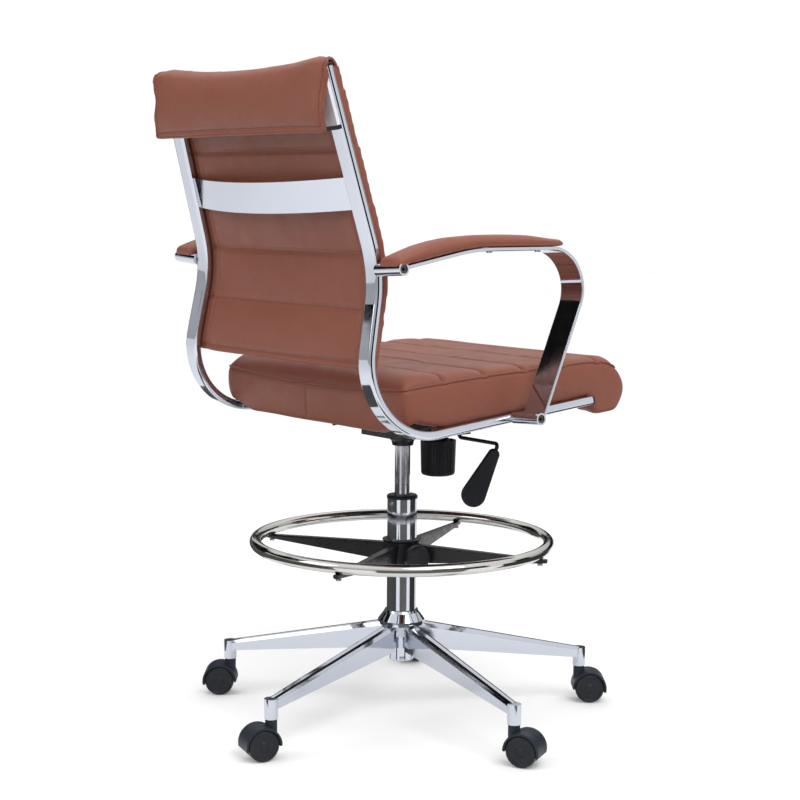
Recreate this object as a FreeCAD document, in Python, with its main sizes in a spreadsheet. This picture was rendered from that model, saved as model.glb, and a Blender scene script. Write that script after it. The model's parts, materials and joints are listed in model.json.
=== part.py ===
"""Drafting chair with a ribbed leather seat and back, a height-adjustable foot ring
and a five-legged base on twin-wheel casters.

Frame: +Z up, floor at Z = 0, the column's axis is X = Y = 0. The sitter faces -Y,
so the sitter's right hand is at -X. All sizes are in millimetres.
"""
import FreeCAD, Part
import math
import os
import re
import Sketcher
from FreeCAD import Placement, Rotation, Vector

SIZES = {
    # five-legged base
    "stem_circle_radius": 322.5,
    "first_leg_angle": 30.2,
    "leg_root_radius": 30,
    "leg_end_radius": 321,
    "leg_root_top": 160,
    "leg_root_bottom": 114,
    "leg_end_top": 96,
    "leg_end_bottom": 78,
    "leg_root_width": 27,
    "leg_end_width": 19,
    "socket_radius": 11,
    "socket_bottom": 63,
    "socket_top": 90,
    "hub_bottom": 95,
    "hub_top": 161,
    "hub_foot_radius": 21,
    "hub_waist_radius": 21.5,
    "hub_top_radius": 37,
    "hub_cap_top": 181,
    "hub_cap_radius": 40,
    # casters
    "wheel_radius": 25,
    "wheel_width": 19,
    "wheel_gap": 4,
    "caster_trail": 18,
    "axle_radius": 3,
    "hood_thickness": 3.5,
    "stem_radius": 5.5,
    "stem_bottom": 51,
    # column and gas spring
    "column_radius": 25,
    "column_wall": 2,
    "column_top": 371,
    "column_foot_radius": 19.5,
    "cap_radius": 26,
    "cap_top": 377,
    "bush_bottom": 285,
    "gas_radius": 13,
    "gas_bottom": 176,
    "gas_top": 502,
    "gas_wall": 2.5,
    "rod_radius": 5,
    "rod_top": 350,
    # foot ring
    "ring_height": 298.3,
    "ring_radius": 246.6,
    "ring_tube_radius": 9.8,
    "ring_tube_wall": 1.5,
    "spoke_angle": 27.5,
    "spoke_end": 258,
    "spoke_end_height": 6,
    "spoke_root_bottom": 262,
    "spoke_root_top": 294,
    "spoke_root_width": 14,
    "spoke_end_width": 9,
    "spider_radius": 31,
    "collar_radius": 27,
    "collar_lip_radius": 33,
    "collar_bottom": 258,
    "collar_top": 303,
    "clamp_angle": 171,
    "clamp_height": 276,
    "clamp_knob_radius": 22,
    "clamp_knob_near": 41,
    "clamp_knob_length": 17,
    # tilt mechanism
    "housing_half_width": 54,
    "housing_floor": 477,
    "housing_sheet": 3,
    "housing_front": -104,
    "housing_rear": 46,
    "socket_mouth": 461,
    "tilt_axle_depth": -27,
    "tilt_axle_height": 494,
    "tilt_axle_radius": 6,
    "bolt_depth": -78,
    "bolt_radius": 5,
    "knob_bottom": 403,
    "knob_top": 463,
    "knob_radius": 30.5,
    "spring_radius": 18,
    "spring_wire": 4,
    "lever_depth": -65,
    "lever_height": 488,
    "lever_pivot": 43,
    "lever_lean": 21.6,
    "lever_drop": 11.8,
    "lever_reach": 173,
    "lever_rod_radius": 3.2,
    "paddle_length": 103,
    "paddle_width": 40,
    "paddle_thickness": 13,
    # seat frame: the rails' plane leans in and the seat run rises to the front
    "rail_lean": 3.388,
    "rail_offset": 233.35,
    "lean_height": 700,
    "seat_slope": 5.37,
    "seat_height": 528.7,
    "bar_spread": 113,
    "rail_width": 30,
    "rail_thickness": 14,
    "rail_corner": 5,
    "rail_wall": 1.8,
    "rail_front_y": -190,
    "rail_front_z": 546.5,
    "rail_heel_y": 287,
    "rail_heel_z": 501.7,
    "rail_lumbar_y": 237.4,
    "rail_lumbar_z": 762.4,
    "rail_top_y": 322.4,
    "rail_top_z": 1060,
    "heel_radius": 113,
    "lumbar_radius": 200,
    "brace_height": 49,
    "brace_sheet": 4,
    "brace_bow": 29,
    "brace_centre_z": 879,
    # seat
    "board_half_width": 222,
    "cushion_half_width": 243,
    "cushion_lift": 7.5,
    # arms
    "boss_radius": 9.5,
    "boss_length": 60,
    "arm_upper_y": 246,
    "arm_upper_z": 767,
    "arm_lower_y": -17,
    "arm_lower_z": 531,
    "arm_top_z": 793.5,
    "arm_bend_y": 105,
    "arm_nose_y": -151,
    "arm_nose_radius": 62.5,
    "arm_bend_radius": 400,
    "strap_sheet": 5,
    "strap_inset": 12,
}

AXES = ("X", "Y", "Z")
WORD = re.compile(r"[a-z][a-z0-9_]{2,}")

document = FreeCAD.newDocument("DraftingChair")
sheet = document.addObject("Spreadsheet::Sheet", "Sizes")
for row, (alias, size) in enumerate(SIZES.items(), start=1):
    sheet.set(f"A{row}", alias)
    sheet.set(f"B{row}", str(size))
    sheet.setAlias(f"B{row}", alias)
document.recompute()

finished = {}


# ---------------------------------------------------------------- helpers

def link(text):
    """The expression that reads the sheet's sizes by their names."""
    return WORD.sub(lambda match: "Sizes." + match.group(0), str(text))


def size(text):
    """The number that a sum of sheet sizes comes to."""
    return float(sheet.evalExpression(link(text)))


def bind(thing, **properties):
    for name, text in properties.items():
        thing.setExpression(name, link(text))


def piece(label, thing):
    """Gives a finished object the label that names its file."""
    thing.Label = label
    finished[label] = thing
    return thing


def body(label):
    return document.addObject("PartDesign::Body", label)


def origin_plane(owner, role):
    return next(item for item in owner.Origin.OriginFeatures if item.Role == role)


def sketch_on(owner, role, name, lift=None, turn=0.0):
    """A sketch on one of the body's origin planes, lifted along its normal."""
    sketch = owner.newObject("Sketcher::SketchObject", name)
    sketch.AttachmentSupport = (origin_plane(owner, role), [""])
    sketch.MapMode = "FlatFace"
    if lift is not None:
        sketch.AttachmentOffset = Placement(Vector(0, 0, size(lift)), Rotation(Vector(0, 0, 1), turn))
        sketch.setExpression("AttachmentOffset.Base.z", link(lift))
    return sketch


def hold(sketch, geometry, corner, x, y):
    """Pins one end of a sketch element at (x, y)."""
    for kind, text, axis in (("DistanceX", x, -2), ("DistanceY", y, -1)):
        if abs(size(text)) < 1e-9:
            sketch.addConstraint(Sketcher.Constraint("PointOnObject", geometry, corner, axis))
            continue
        number = sketch.addConstraint(Sketcher.Constraint(kind, -1, 1, geometry, corner, size(text)))
        sketch.setExpression(f"Constraints[{number}]", link(text))


def outline(sketch, points):
    """A closed outline of straight edges through points."""
    spots = [Vector(size(x), size(y), 0) for x, y in points]
    count = len(spots)
    first = sketch.GeometryCount
    for index in range(count):
        sketch.addGeometry(Part.LineSegment(spots[index], spots[(index + 1) % count]), False)
    for index in range(count):
        after = first + (index + 1) % count
        sketch.addConstraint(Sketcher.Constraint("Coincident", first + index, 2, after, 1))
    for index, (x, y) in enumerate(points):
        hold(sketch, first + index, 1, x, y)


def ring(sketch, radius, x="0", y="0"):
    """A circle with its centre at (x, y)."""
    centre = Vector(size(x), size(y), 0)
    number = sketch.addGeometry(Part.Circle(centre, Vector(0, 0, 1), size(radius)), False)
    hold(sketch, number, 3, x, y)
    held = sketch.addConstraint(Sketcher.Constraint("Radius", number, size(radius)))
    sketch.setExpression(f"Constraints[{held}]", link(radius))


def rounded_box(sketch, width, height, corner):
    """A rectangle about the sketch's origin, with round corners."""
    half_x, half_y, curve = size(width) / 2, size(height) / 2, size(corner)
    first = sketch.GeometryCount
    inner_x, inner_y = half_x - curve, half_y - curve
    sides = [((-inner_x, half_y), (inner_x, half_y)), ((half_x, inner_y), (half_x, -inner_y)),
             ((inner_x, -half_y), (-inner_x, -half_y)), ((-half_x, -inner_y), (-half_x, inner_y))]
    centres = [(inner_x, inner_y, 0), (inner_x, -inner_y, -90),
               (-inner_x, -inner_y, 180), (-inner_x, inner_y, 90)]
    for start, end in sides:
        sketch.addGeometry(Part.LineSegment(Vector(*start, 0), Vector(*end, 0)), False)
    for x, y, begin in centres:
        circle = Part.Circle(Vector(x, y, 0), Vector(0, 0, 1), curve)
        start = math.radians(begin)
        sketch.addGeometry(Part.ArcOfCircle(circle, start, start + math.pi / 2), False)
    for index in range(4):
        side, bend, after = first + index, first + 4 + index, first + (index + 1) % 4
        sketch.addConstraint(Sketcher.Constraint("Tangent", side, 2, bend, 2))
        sketch.addConstraint(Sketcher.Constraint("Tangent", bend, 1, after, 1))
        if index:
            sketch.addConstraint(Sketcher.Constraint("Equal", first + 4, bend))
    held = sketch.addConstraint(Sketcher.Constraint("Radius", first + 4, curve))
    sketch.setExpression(f"Constraints[{held}]", link(corner))
    limits = [("DistanceY", 0, f"({height}) / 2"), ("DistanceX", 1, f"({width}) / 2"),
              ("DistanceY", 2, f"-({height}) / 2"), ("DistanceX", 3, f"-({width}) / 2")]
    for kind, side, text in limits:
        held = sketch.addConstraint(Sketcher.Constraint(kind, -1, 1, first + side, 1, size(text)))
        sketch.setExpression(f"Constraints[{held}]", link(text))


def bend_at(before, corner, after, radius):
    """The start, middle, end and centre of the arc that rounds a corner."""
    back = (before - corner).normalize()
    ahead = (after - corner).normalize()
    half = math.acos(back.dot(ahead)) / 2
    centre = corner + (back + ahead).normalize() * (radius / math.sin(half))
    middle = centre + (corner - centre).normalize() * radius
    run = radius / math.tan(half)
    return corner + back * run, middle, corner + ahead * run, centre


def arc_between(start, end, centre):
    """The anticlockwise arc from start to end, as a sketch element."""
    radius = (start - centre).Length
    begin = math.atan2(start.y - centre.y, start.x - centre.x)
    finish = math.atan2(end.y - centre.y, end.x - centre.x)
    if finish < begin:
        finish += 2 * math.pi
    return Part.ArcOfCircle(Part.Circle(centre, Vector(0, 0, 1), radius), begin, finish)


def route(sketch, points, radii):
    """An open path: straight runs through points, with the inner corners rounded."""
    spots = [Vector(size(x), size(y), 0) for x, y in points]
    runs = []
    bends = []
    lefts = []
    last = spots[0]
    for index in range(1, len(spots) - 1):
        radius = size(radii[index - 1])
        start, middle, end, centre = bend_at(spots[index - 1], spots[index], spots[index + 1], radius)
        left = (start - last).cross(end - start).z > 0
        arc = arc_between(start, end, centre) if left else arc_between(end, start, centre)
        runs.append(sketch.addGeometry(Part.LineSegment(last, start), False))
        bends.append(sketch.addGeometry(arc, False))
        lefts.append(left)
        last = end
    runs.append(sketch.addGeometry(Part.LineSegment(last, spots[-1]), False))
    hold(sketch, runs[0], 1, *points[0])
    hold(sketch, runs[-1], 2, *points[-1])
    for index, bend in enumerate(bends):
        near, far = (1, 2) if lefts[index] else (2, 1)
        sketch.addConstraint(Sketcher.Constraint("Tangent", runs[index], 2, bend, near))
        sketch.addConstraint(Sketcher.Constraint("Tangent", bend, far, runs[index + 1], 1))
        held = sketch.addConstraint(Sketcher.Constraint("Radius", bend, size(radii[index])))
        sketch.setExpression(f"Constraints[{held}]", link(radii[index]))
        corner = sketch.addGeometry(Part.Point(spots[index + 1]), True)
        sketch.addConstraint(Sketcher.Constraint("PointOnObject", corner, 1, runs[index]))
        sketch.addConstraint(Sketcher.Constraint("PointOnObject", corner, 1, runs[index + 1]))
        hold(sketch, corner, 1, *points[index + 1])


def turned(label, points, axis="V_Axis"):
    """A body turned round the sketch's vertical axis from an outline in the XZ plane."""
    owner = body(label)
    sketch = sketch_on(owner, "XZ_Plane", label + "_outline")
    outline(sketch, points)
    feature = owner.newObject("PartDesign::Revolution", label + "_turn")
    feature.Profile = sketch
    feature.ReferenceAxis = (sketch, [axis])
    feature.Angle = 360
    sketch.Visibility = False
    return owner


def padded(owner, sketch, length, both=True, reverse=False):
    feature = owner.newObject("PartDesign::Pad", sketch.Name + "_pad")
    feature.Profile = sketch
    feature.Midplane = both
    feature.Reversed = reverse
    bind(feature, Length=length)
    return feature


def pocketed(owner, sketch, length, both=True, reverse=False):
    feature = owner.newObject("PartDesign::Pocket", sketch.Name + "_pocket")
    feature.Profile = sketch
    feature.Midplane = both
    feature.Reversed = reverse
    bind(feature, Length=length)
    return feature


def plate(label, role, points, length, both=True, reverse=False, lift=None):
    """A body of one thickness with an outline on an origin plane."""
    owner = body(label)
    sketch = sketch_on(owner, role, label + "_outline", lift)
    outline(sketch, points)
    padded(owner, sketch, length, both, reverse)
    return owner


def swept(label, role, points, radii, section):
    """A body swept along a rounded path; section draws the sketch across its start."""
    owner = body(label)
    path = sketch_on(owner, role, label + "_path")
    route(path, points, radii)
    document.recompute()
    across = owner.newObject("Sketcher::SketchObject", label + "_section")
    across.AttachmentSupport = [(path, "Edge1"), (path, "Vertex1")]
    across.MapMode = "NormalToEdge"
    document.recompute()
    section(across)
    pipe = owner.newObject("PartDesign::AdditivePipe", label + "_pipe")
    pipe.Profile = across
    pipe.Spine = (path, [])
    document.recompute()
    return owner


def cylinder(name, radius, height, place):
    thing = document.addObject("Part::Cylinder", name)
    bind(thing, Radius=radius, Height=height)
    thing.Placement = place
    return thing


def block(name, length, width, height, place):
    thing = document.addObject("Part::Box", name)
    bind(thing, Length=length, Width=width, Height=height)
    thing.Placement = place
    return thing


def combined(kind, name, things):
    thing = document.addObject("Part::" + kind, name)
    thing.Shapes = things
    return thing


def cut(name, base, tool):
    thing = document.addObject("Part::Cut", name)
    thing.Base = base
    thing.Tool = tool
    return thing


def along(direction, spot):
    """A placement that points a primitive's +Z along direction from spot."""
    return Placement(spot, Rotation(Vector(0, 0, 1), direction))


def spun(place, degrees):
    """The same placement turned about the column's axis."""
    return Placement(Vector(), Rotation(Vector(0, 0, 1), degrees)) * place


def group(label, shapes):
    """Identical small pieces as separate solids under one name."""
    thing = document.addObject("Part::Feature", label)
    thing.Shape = Part.makeCompound(shapes)
    return piece(label, thing)


# the frame of each side: upright in its own YZ plane, then leaned in and set out
def side_place(side):
    """Side +1 is the sitter's left, at +X; side -1 is the sitter's right."""
    pivot = Vector(0, 0, size("lean_height"))
    lean = Placement(Vector(), Rotation(Vector(0, 1, 0), -side * size("rail_lean")), pivot)
    return Placement(Vector(side * size("rail_offset"), 0, 0), Rotation()) * lean


# the frame of the seat: its Y runs along the rails' lower run
SEAT_PLACE = Placement(Vector(0, 0, size("seat_height")), Rotation(Vector(1, 0, 0), -size("seat_slope")))


# ---------------------------------------------------------------- base

def star_base():
    owner = turned("star_base", [
        ("column_foot_radius + 0.05", "hub_bottom"), ("hub_foot_radius", "hub_bottom"),
        ("hub_foot_radius + 0.5", "hub_bottom + 2"), ("hub_foot_radius", "hub_bottom + 15"),
        ("hub_waist_radius - 0.5", "hub_bottom + 22"), ("hub_waist_radius - 0.5", "hub_top - 26"),
        ("hub_top_radius - 7", "hub_top - 14"), ("hub_top_radius", "hub_top - 5"),
        ("hub_top_radius", "hub_top"), ("column_radius - 1.45", "hub_top")])
    loft_sections = []
    for name, lift, width, bottom, top in (
            ("leg_root", "leg_root_radius", "leg_root_width", "leg_root_bottom", "leg_root_top"),
            ("leg_end", "leg_end_radius", "leg_end_width", "leg_end_bottom", "leg_end_top")):
        sketch = sketch_on(owner, "YZ_Plane", name, lift)
        shoulder = f"({top}) - ({width}) * 0.30"
        outline(sketch, [
            (f"-({width}) * 0.46", bottom), (f"({width}) * 0.46", bottom), (f"({width}) * 0.50", shoulder),
            (f"({width}) * 0.36", f"({top}) - ({width}) * 0.08"), (f"({width}) * 0.16", top),
            (f"-({width}) * 0.16", top), (f"-({width}) * 0.36", f"({top}) - ({width}) * 0.08"),
            (f"-({width}) * 0.50", shoulder)])
        loft_sections.append(sketch)
    leg = owner.newObject("PartDesign::AdditiveLoft", "leg")
    leg.Profile = loft_sections[0]
    leg.Sections = loft_sections[1:]
    leg.Ruled = True
    sock = sketch_on(owner, "XY_Plane", "socket", "socket_bottom")
    ring(sock, "socket_radius", "stem_circle_radius")
    boss = padded(owner, sock, "leg_end_top - 1 - socket_bottom", both=False)
    document.recompute()
    pattern = owner.newObject("PartDesign::PolarPattern", "legs")
    pattern.Originals = [leg, boss]
    pattern.Axis = (next(i for i in owner.Origin.OriginFeatures if i.Role == "Z_Axis"), [""])
    pattern.Angle = 360
    pattern.Occurrences = 5
    owner.Tip = pattern
    document.recompute()
    stem = sketch_on(owner, "XY_Plane", "stem_holes", "socket_bottom")
    for index in range(5):
        angle = math.radians(72 * index)
        centre = Vector(math.cos(angle), math.sin(angle), 0) * size("stem_circle_radius")
        stem.addGeometry(Part.Circle(centre, Vector(0, 0, 1), size("stem_radius") + 0.05), False)
    pocketed(owner, stem, "socket_top - socket_bottom", both=False, reverse=True)
    bore = sketch_on(owner, "XY_Plane", "bore", "hub_bottom - 1")
    ring(bore, "column_foot_radius + 0.05")
    pocketed(owner, bore, "hub_top - hub_bottom + 2", both=False, reverse=True)
    document.recompute()
    owner.Placement = Placement(Vector(), Rotation(Vector(0, 0, 1), size("first_leg_angle")))
    piece("star_base", owner)


def hub_cap():
    piece("hub_cap", turned("hub_cap", [
        ("column_radius + 0.1", "hub_top + 0.1"), ("hub_cap_radius", "hub_top + 0.1"),
        ("hub_cap_radius - 0.5", "hub_top + 3"), ("column_radius + 5", "hub_cap_top - 4"),
        ("column_radius + 3", "hub_cap_top"), ("column_radius + 0.1", "hub_cap_top")]))


def column():
    wall = "column_wall"
    piece("column_tube", turned("column_tube", [
        ("rod_radius + 0.1", "hub_bottom - 1"), ("column_foot_radius", "hub_bottom - 1"),
        ("column_foot_radius", "hub_top + 0.1"), ("column_radius", "hub_top + 0.1"),
        ("column_radius", "column_top"), (f"column_radius - {wall}", "column_top"),
        (f"column_radius - {wall}", "hub_top + 6"), ("column_foot_radius - 2.5", "hub_top - 2"),
        ("column_foot_radius - 2.5", "hub_bottom + 3"), ("rod_radius + 0.1", "hub_bottom + 3")]))
    piece("column_cap", turned("column_cap", [
        ("gas_radius + 0.05", "bush_bottom"), (f"column_radius - {wall} - 0.05", "bush_bottom"),
        (f"column_radius - {wall} - 0.05", "column_top"), ("cap_radius", "column_top"),
        ("cap_radius", "cap_top - 2"), ("cap_radius - 2", "cap_top"), ("gas_radius + 0.05", "cap_top")]))
    piece("column_screw", cylinder("column_screw", "2.6", "2", spun(
        along(Vector(1, 0, 0), Vector(size("column_radius") + 0.02, 0, size("column_top") - 8)), 96)))


def gas_spring():
    piece("piston_rod", turned("piston_rod", [
        ("0", "hub_bottom - 5.5"), ("rod_radius", "hub_bottom - 5.5"), ("rod_radius", "rod_top - 12"),
        ("gas_radius - gas_wall - 0.1", "rod_top - 12"), ("gas_radius - gas_wall - 0.1", "rod_top"),
        ("0", "rod_top")]))
    piece("rod_clip", turned("rod_clip", [
        ("rod_radius + 0.05", "hub_bottom - 3.9"), ("rod_radius + 5", "hub_bottom - 3.9"),
        ("rod_radius + 5", "hub_bottom - 1.3"), ("rod_radius + 0.05", "hub_bottom - 1.3")]))
    piece("gas_cylinder", turned("gas_cylinder", [
        ("rod_radius + 0.05", "gas_bottom"), ("gas_radius - 1", "gas_bottom"), ("gas_radius", "gas_bottom + 1"),
        ("gas_radius", "cap_top + 18"), ("gas_radius - 0.6", "cap_top + 18.3"),
        ("gas_radius - 0.6", "cap_top + 19.7"), ("gas_radius", "cap_top + 20"),
        ("gas_radius", "socket_mouth"), ("gas_radius - 1", "gas_top"),
        ("4.1", "gas_top"), ("4.1", "gas_top - 12"), ("0", "gas_top - 12"), ("0", "gas_top - 16"),
        ("gas_radius - gas_wall", "gas_top - 16"), ("gas_radius - gas_wall", "gas_bottom + 8"),
        ("rod_radius + 0.05", "gas_bottom + 8")]))
    piece("valve_button", turned("valve_button", [
        ("0", "gas_top - 5"), ("4.05", "gas_top - 5"), ("4.05", "gas_top + 4"), ("0", "gas_top + 4")]))


# ---------------------------------------------------------------- casters

def casters():
    """Each caster trails its own way; angles are of the trail, seen from above."""
    trails = (51, 75, 207, 231, 321)
    room = "wheel_radius + 1"
    outer = "wheel_radius + 1 + hood_thickness"
    face = "wheel_gap / 2 + 0.5"
    back = "wheel_gap / 2 + wheel_width"
    for index, trail in enumerate(trails, start=1):
        angle = math.radians(size("first_leg_angle") + 72 * (index - 1))
        stem_spot = Vector(math.cos(angle), math.sin(angle), 0) * size("stem_circle_radius")
        place = Placement(stem_spot, Rotation(Vector(0, 0, 1), trail))
        hood = body(f"hood_{index}")
        shell = sketch_on(hood, "XZ_Plane", f"hood_{index}_outline")
        ring(shell, outer, "caster_trail", "wheel_radius")
        padded(hood, shell, "wheel_width * 2 + wheel_gap")
        neck = sketch_on(hood, "XY_Plane", f"hood_{index}_neck", "socket_bottom - 1")
        ring(neck, "stem_radius + 4")
        padded(hood, neck, "socket_bottom - 1 - 34", both=False, reverse=True)
        for side in (-1, 1):
            wheel_room = sketch_on(hood, "XZ_Plane", f"hood_{index}_room_{side + 1}",
                                   f"{side} * (wheel_gap / 2 + 15)")
            ring(wheel_room, room, "caster_trail", "wheel_radius")
            pocketed(hood, wheel_room, "30")
        below = sketch_on(hood, "XZ_Plane", f"hood_{index}_below")
        outline(below, [("-40", "-30"), ("caster_trail + 40", "-30"), ("caster_trail + 40", "wheel_radius - 7"),
                        ("caster_trail + 8", "wheel_radius - 6"), ("caster_trail - 8", "wheel_radius - 6"),
                        ("-40", "wheel_radius + 6")])
        pocketed(hood, below, "wheel_width * 2 + wheel_gap + 4")
        eye = sketch_on(hood, "XY_Plane", f"hood_{index}_stem", "socket_bottom")
        ring(eye, "stem_radius + 0.05")
        pocketed(hood, eye, "socket_bottom - stem_bottom + 0.5", both=False)
        document.recompute()
        hood.Placement = place
        half = size(back) - 3
        axle = cylinder(f"axle_{index}", "axle_radius", f"({back}) * 2 - 6",
                        place * along(Vector(0, 1, 0), Vector(size("caster_trail"), -half, size("wheel_radius"))))
        piece(f"caster_{index}_hood", combined("MultiFuse", f"hood_{index}_with_axle", [hood, axle]))
        for side, name in ((-1, "a"), (1, "b")):
            wheel = turned(f"caster_{index}_wheel_{name}", [
                ("axle_radius + 0.05", face), ("wheel_radius - 1.5", face), ("wheel_radius", f"{face} + 1.5"),
                ("wheel_radius", f"{back} - 3"), ("wheel_radius - 1", f"{back} - 1"),
                ("wheel_radius - 3", back), ("wheel_radius - 6", f"{back} - 1.5"), ("8", f"{back} - 1.5"),
                ("6", back), ("0", back), ("0", f"{back} - 2.9"), ("axle_radius + 0.05", f"{back} - 2.9")])
            document.recompute()
            wheel.Placement = place * along(Vector(0, side, 0), Vector(
                size("caster_trail"), 0, size("wheel_radius")))
            piece(f"caster_{index}_wheel_{name}", wheel)


def caster_stems():
    stems = []
    for index in range(5):
        angle = math.radians(size("first_leg_angle") + 72 * index)
        spot = Vector(math.cos(angle), math.sin(angle), 0) * size("stem_circle_radius")
        spot.z = size("stem_bottom")
        stems.append(Part.makeCylinder(size("stem_radius"), size("socket_top") - spot.z - 1, spot))
    group("caster_stems", stems)


# ---------------------------------------------------------------- foot ring

def foot_ring():
    piece("ring_collar", turned("ring_collar", [
        ("column_radius + 0.05", "collar_bottom"), ("collar_radius", "collar_bottom"),
        ("collar_radius", "collar_top - 4"), ("collar_lip_radius", "collar_top - 3"),
        ("collar_lip_radius", "collar_top - 1"), ("collar_radius", "collar_top"),
        ("column_radius + 0.05", "collar_top")]))
    spider = turned("ring_spider", [
        ("collar_radius + 0.05", "spoke_root_bottom - 3"), ("spider_radius", "spoke_root_bottom - 3"),
        ("spider_radius", "collar_top - 5"), ("collar_radius + 0.05", "collar_top - 5")])
    seat = "ring_height - ring_tube_radius - 0.5"
    sections = []
    for name, lift, width, bottom, top in (
            ("spoke_root", "collar_radius + 2", "spoke_root_width", "spoke_root_bottom", "spoke_root_top"),
            ("spoke_end", "spoke_end", "spoke_end_width", f"{seat} - spoke_end_height", seat)):
        sketch = sketch_on(spider, "YZ_Plane", name, lift)
        outline(sketch, [
            (f"-({width}) * 0.3", bottom), (f"({width}) * 0.3", bottom), (f"({width}) * 0.5", f"({top}) - 3"),
            (f"({width}) * 0.5", top), (f"-({width}) * 0.5", top), (f"-({width}) * 0.5", f"({top}) - 3")])
        sections.append(sketch)
    spoke = spider.newObject("PartDesign::AdditiveLoft", "spoke")
    spoke.Profile = sections[0]
    spoke.Sections = sections[1:]
    spoke.Ruled = True
    document.recompute()
    pattern = spider.newObject("PartDesign::PolarPattern", "spokes")
    pattern.Originals = [spoke]
    pattern.Axis = (next(i for i in spider.Origin.OriginFeatures if i.Role == "Z_Axis"), [""])
    pattern.Angle = 360
    pattern.Occurrences = 4
    spider.Tip = pattern
    document.recompute()
    spider.Placement = Placement(Vector(), Rotation(Vector(0, 0, 1), size("spoke_angle")))
    clamp_axis = spun(along(Vector(1, 0, 0), Vector(0, 0, size("clamp_height"))), size("clamp_angle"))
    boss = cylinder("clamp_boss", "9.5", "clamp_knob_near - spider_radius + 2 - 0.4",
                    clamp_axis * Placement(Vector(0, 0, size("spider_radius") - 2), Rotation()))
    hole = cylinder("clamp_hole", "4.05", "30",
                    clamp_axis * Placement(Vector(0, 0, size("collar_radius") - 1), Rotation()))
    fused = combined("MultiFuse", "spider_fused", [spider, boss])
    piece("ring_spider", cut("ring_spider_cut", fused, hole))

    tube = document.addObject("Part::Torus", "ring_outer")
    bind(tube, Radius1="ring_radius", Radius2="ring_tube_radius")
    inner = document.addObject("Part::Torus", "ring_inner")
    bind(inner, Radius1="ring_radius", Radius2="ring_tube_radius - ring_tube_wall")
    for torus in (tube, inner):
        torus.Placement = Placement(Vector(0, 0, size("ring_height")), Rotation())
    vents = []
    screws = []
    for index in range(4):
        turn = size("spoke_angle") + 90 * index
        spot = Vector(size("ring_radius"), 0, size("ring_height") - size("ring_tube_radius") - 1)
        vents.append(cylinder(f"ring_vent_{index}", "2.6", "6", spun(Placement(spot, Rotation()), turn)))
        head = Part.makeCylinder(4.5, 2.6, Vector(spot.x, 0, size(f"{seat} - spoke_end_height") - 4.6))
        head.rotate(Vector(), Vector(0, 0, 1), turn)
        screws.append(head)
    hollow = cut("ring_hollow", tube, inner)
    piece("foot_ring", cut("foot_ring_vented", hollow, combined("MultiFuse", "ring_vents", vents)))
    group("ring_screws", screws)

    knob = turned("clamp_knob", [
        ("4.05", "clamp_knob_near"), ("12", "clamp_knob_near"), ("clamp_knob_radius", "clamp_knob_near + 4"),
        ("clamp_knob_radius", "clamp_knob_near + clamp_knob_length - 3"),
        ("clamp_knob_radius - 3", "clamp_knob_near + clamp_knob_length"),
        ("0", "clamp_knob_near + clamp_knob_length + 0.6"),
        ("0", "clamp_knob_near + 12.1"), ("4.05", "clamp_knob_near + 12.1")])
    knob.Placement = clamp_axis
    piece("clamp_knob", knob)
    piece("clamp_screw", cylinder("clamp_screw", "4", "clamp_knob_near + 12 - collar_radius - 0.2",
                                  clamp_axis * Placement(Vector(0, 0, size("collar_radius") + 0.2), Rotation())))


# ---------------------------------------------------------------- tilt mechanism

def tilt_housing():
    floor, front, rear = "housing_floor", "housing_front", "housing_rear"
    owner = plate("tilt_housing", "YZ_Plane", [
        (front, floor), (rear, floor), (rear, "housing_floor + 13"), ("0", "housing_floor + 31"),
        ("-34", "housing_floor + 33"), (front, "housing_floor + 22")], "housing_half_width * 2")
    inside = sketch_on(owner, "YZ_Plane", "housing_inside")
    outline(inside, [
        (f"{front} + housing_sheet", f"{floor} + housing_sheet"),
        (f"{rear} - housing_sheet", f"{floor} + housing_sheet"),
        (f"{rear} - housing_sheet", f"{floor} + 60"), (f"{front} + housing_sheet", f"{floor} + 60")])
    pocketed(owner, inside, "housing_half_width * 2 - housing_sheet * 2")
    document.recompute()
    socket = turned("column_socket", [
        ("gas_radius - 0.5", "gas_top - 4"), ("18", "gas_top - 4"), ("18", "housing_floor + 3"),
        ("33", "housing_floor + 1"), ("32", "housing_floor - 1"), ("25", "housing_floor - 3"),
        ("19", "housing_floor - 9"), ("17.5", "socket_mouth"), ("gas_radius + 0.02", "socket_mouth")])
    fused = combined("MultiFuse", "housing_fused", [owner, socket])
    long = size("housing_half_width") * 2 + 20
    holes = [
        cylinder("gas_taper", "gas_radius + 0.02", "60", Placement(Vector(0, 0, size("socket_mouth") - 5), Rotation())),
        cylinder("axle_eyes", "tilt_axle_radius + 0.05", str(long), along(
            Vector(1, 0, 0), Vector(-long / 2, size("tilt_axle_depth"), size("tilt_axle_height")))),
        cylinder("bolt_way", "bolt_radius + 2", "20", Placement(
            Vector(0, size("bolt_depth"), size("housing_floor") - 5), Rotation())),
        cylinder("lever_way", "lever_rod_radius + 3", "12", along(Vector(-1, 0, 0), Vector(
            8 - size("housing_half_width"), size("lever_depth"), size("lever_height"))))]
    piece("tilt_housing", cut("tilt_housing_cut", fused, combined("MultiFuse", "housing_holes", holes)))


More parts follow.
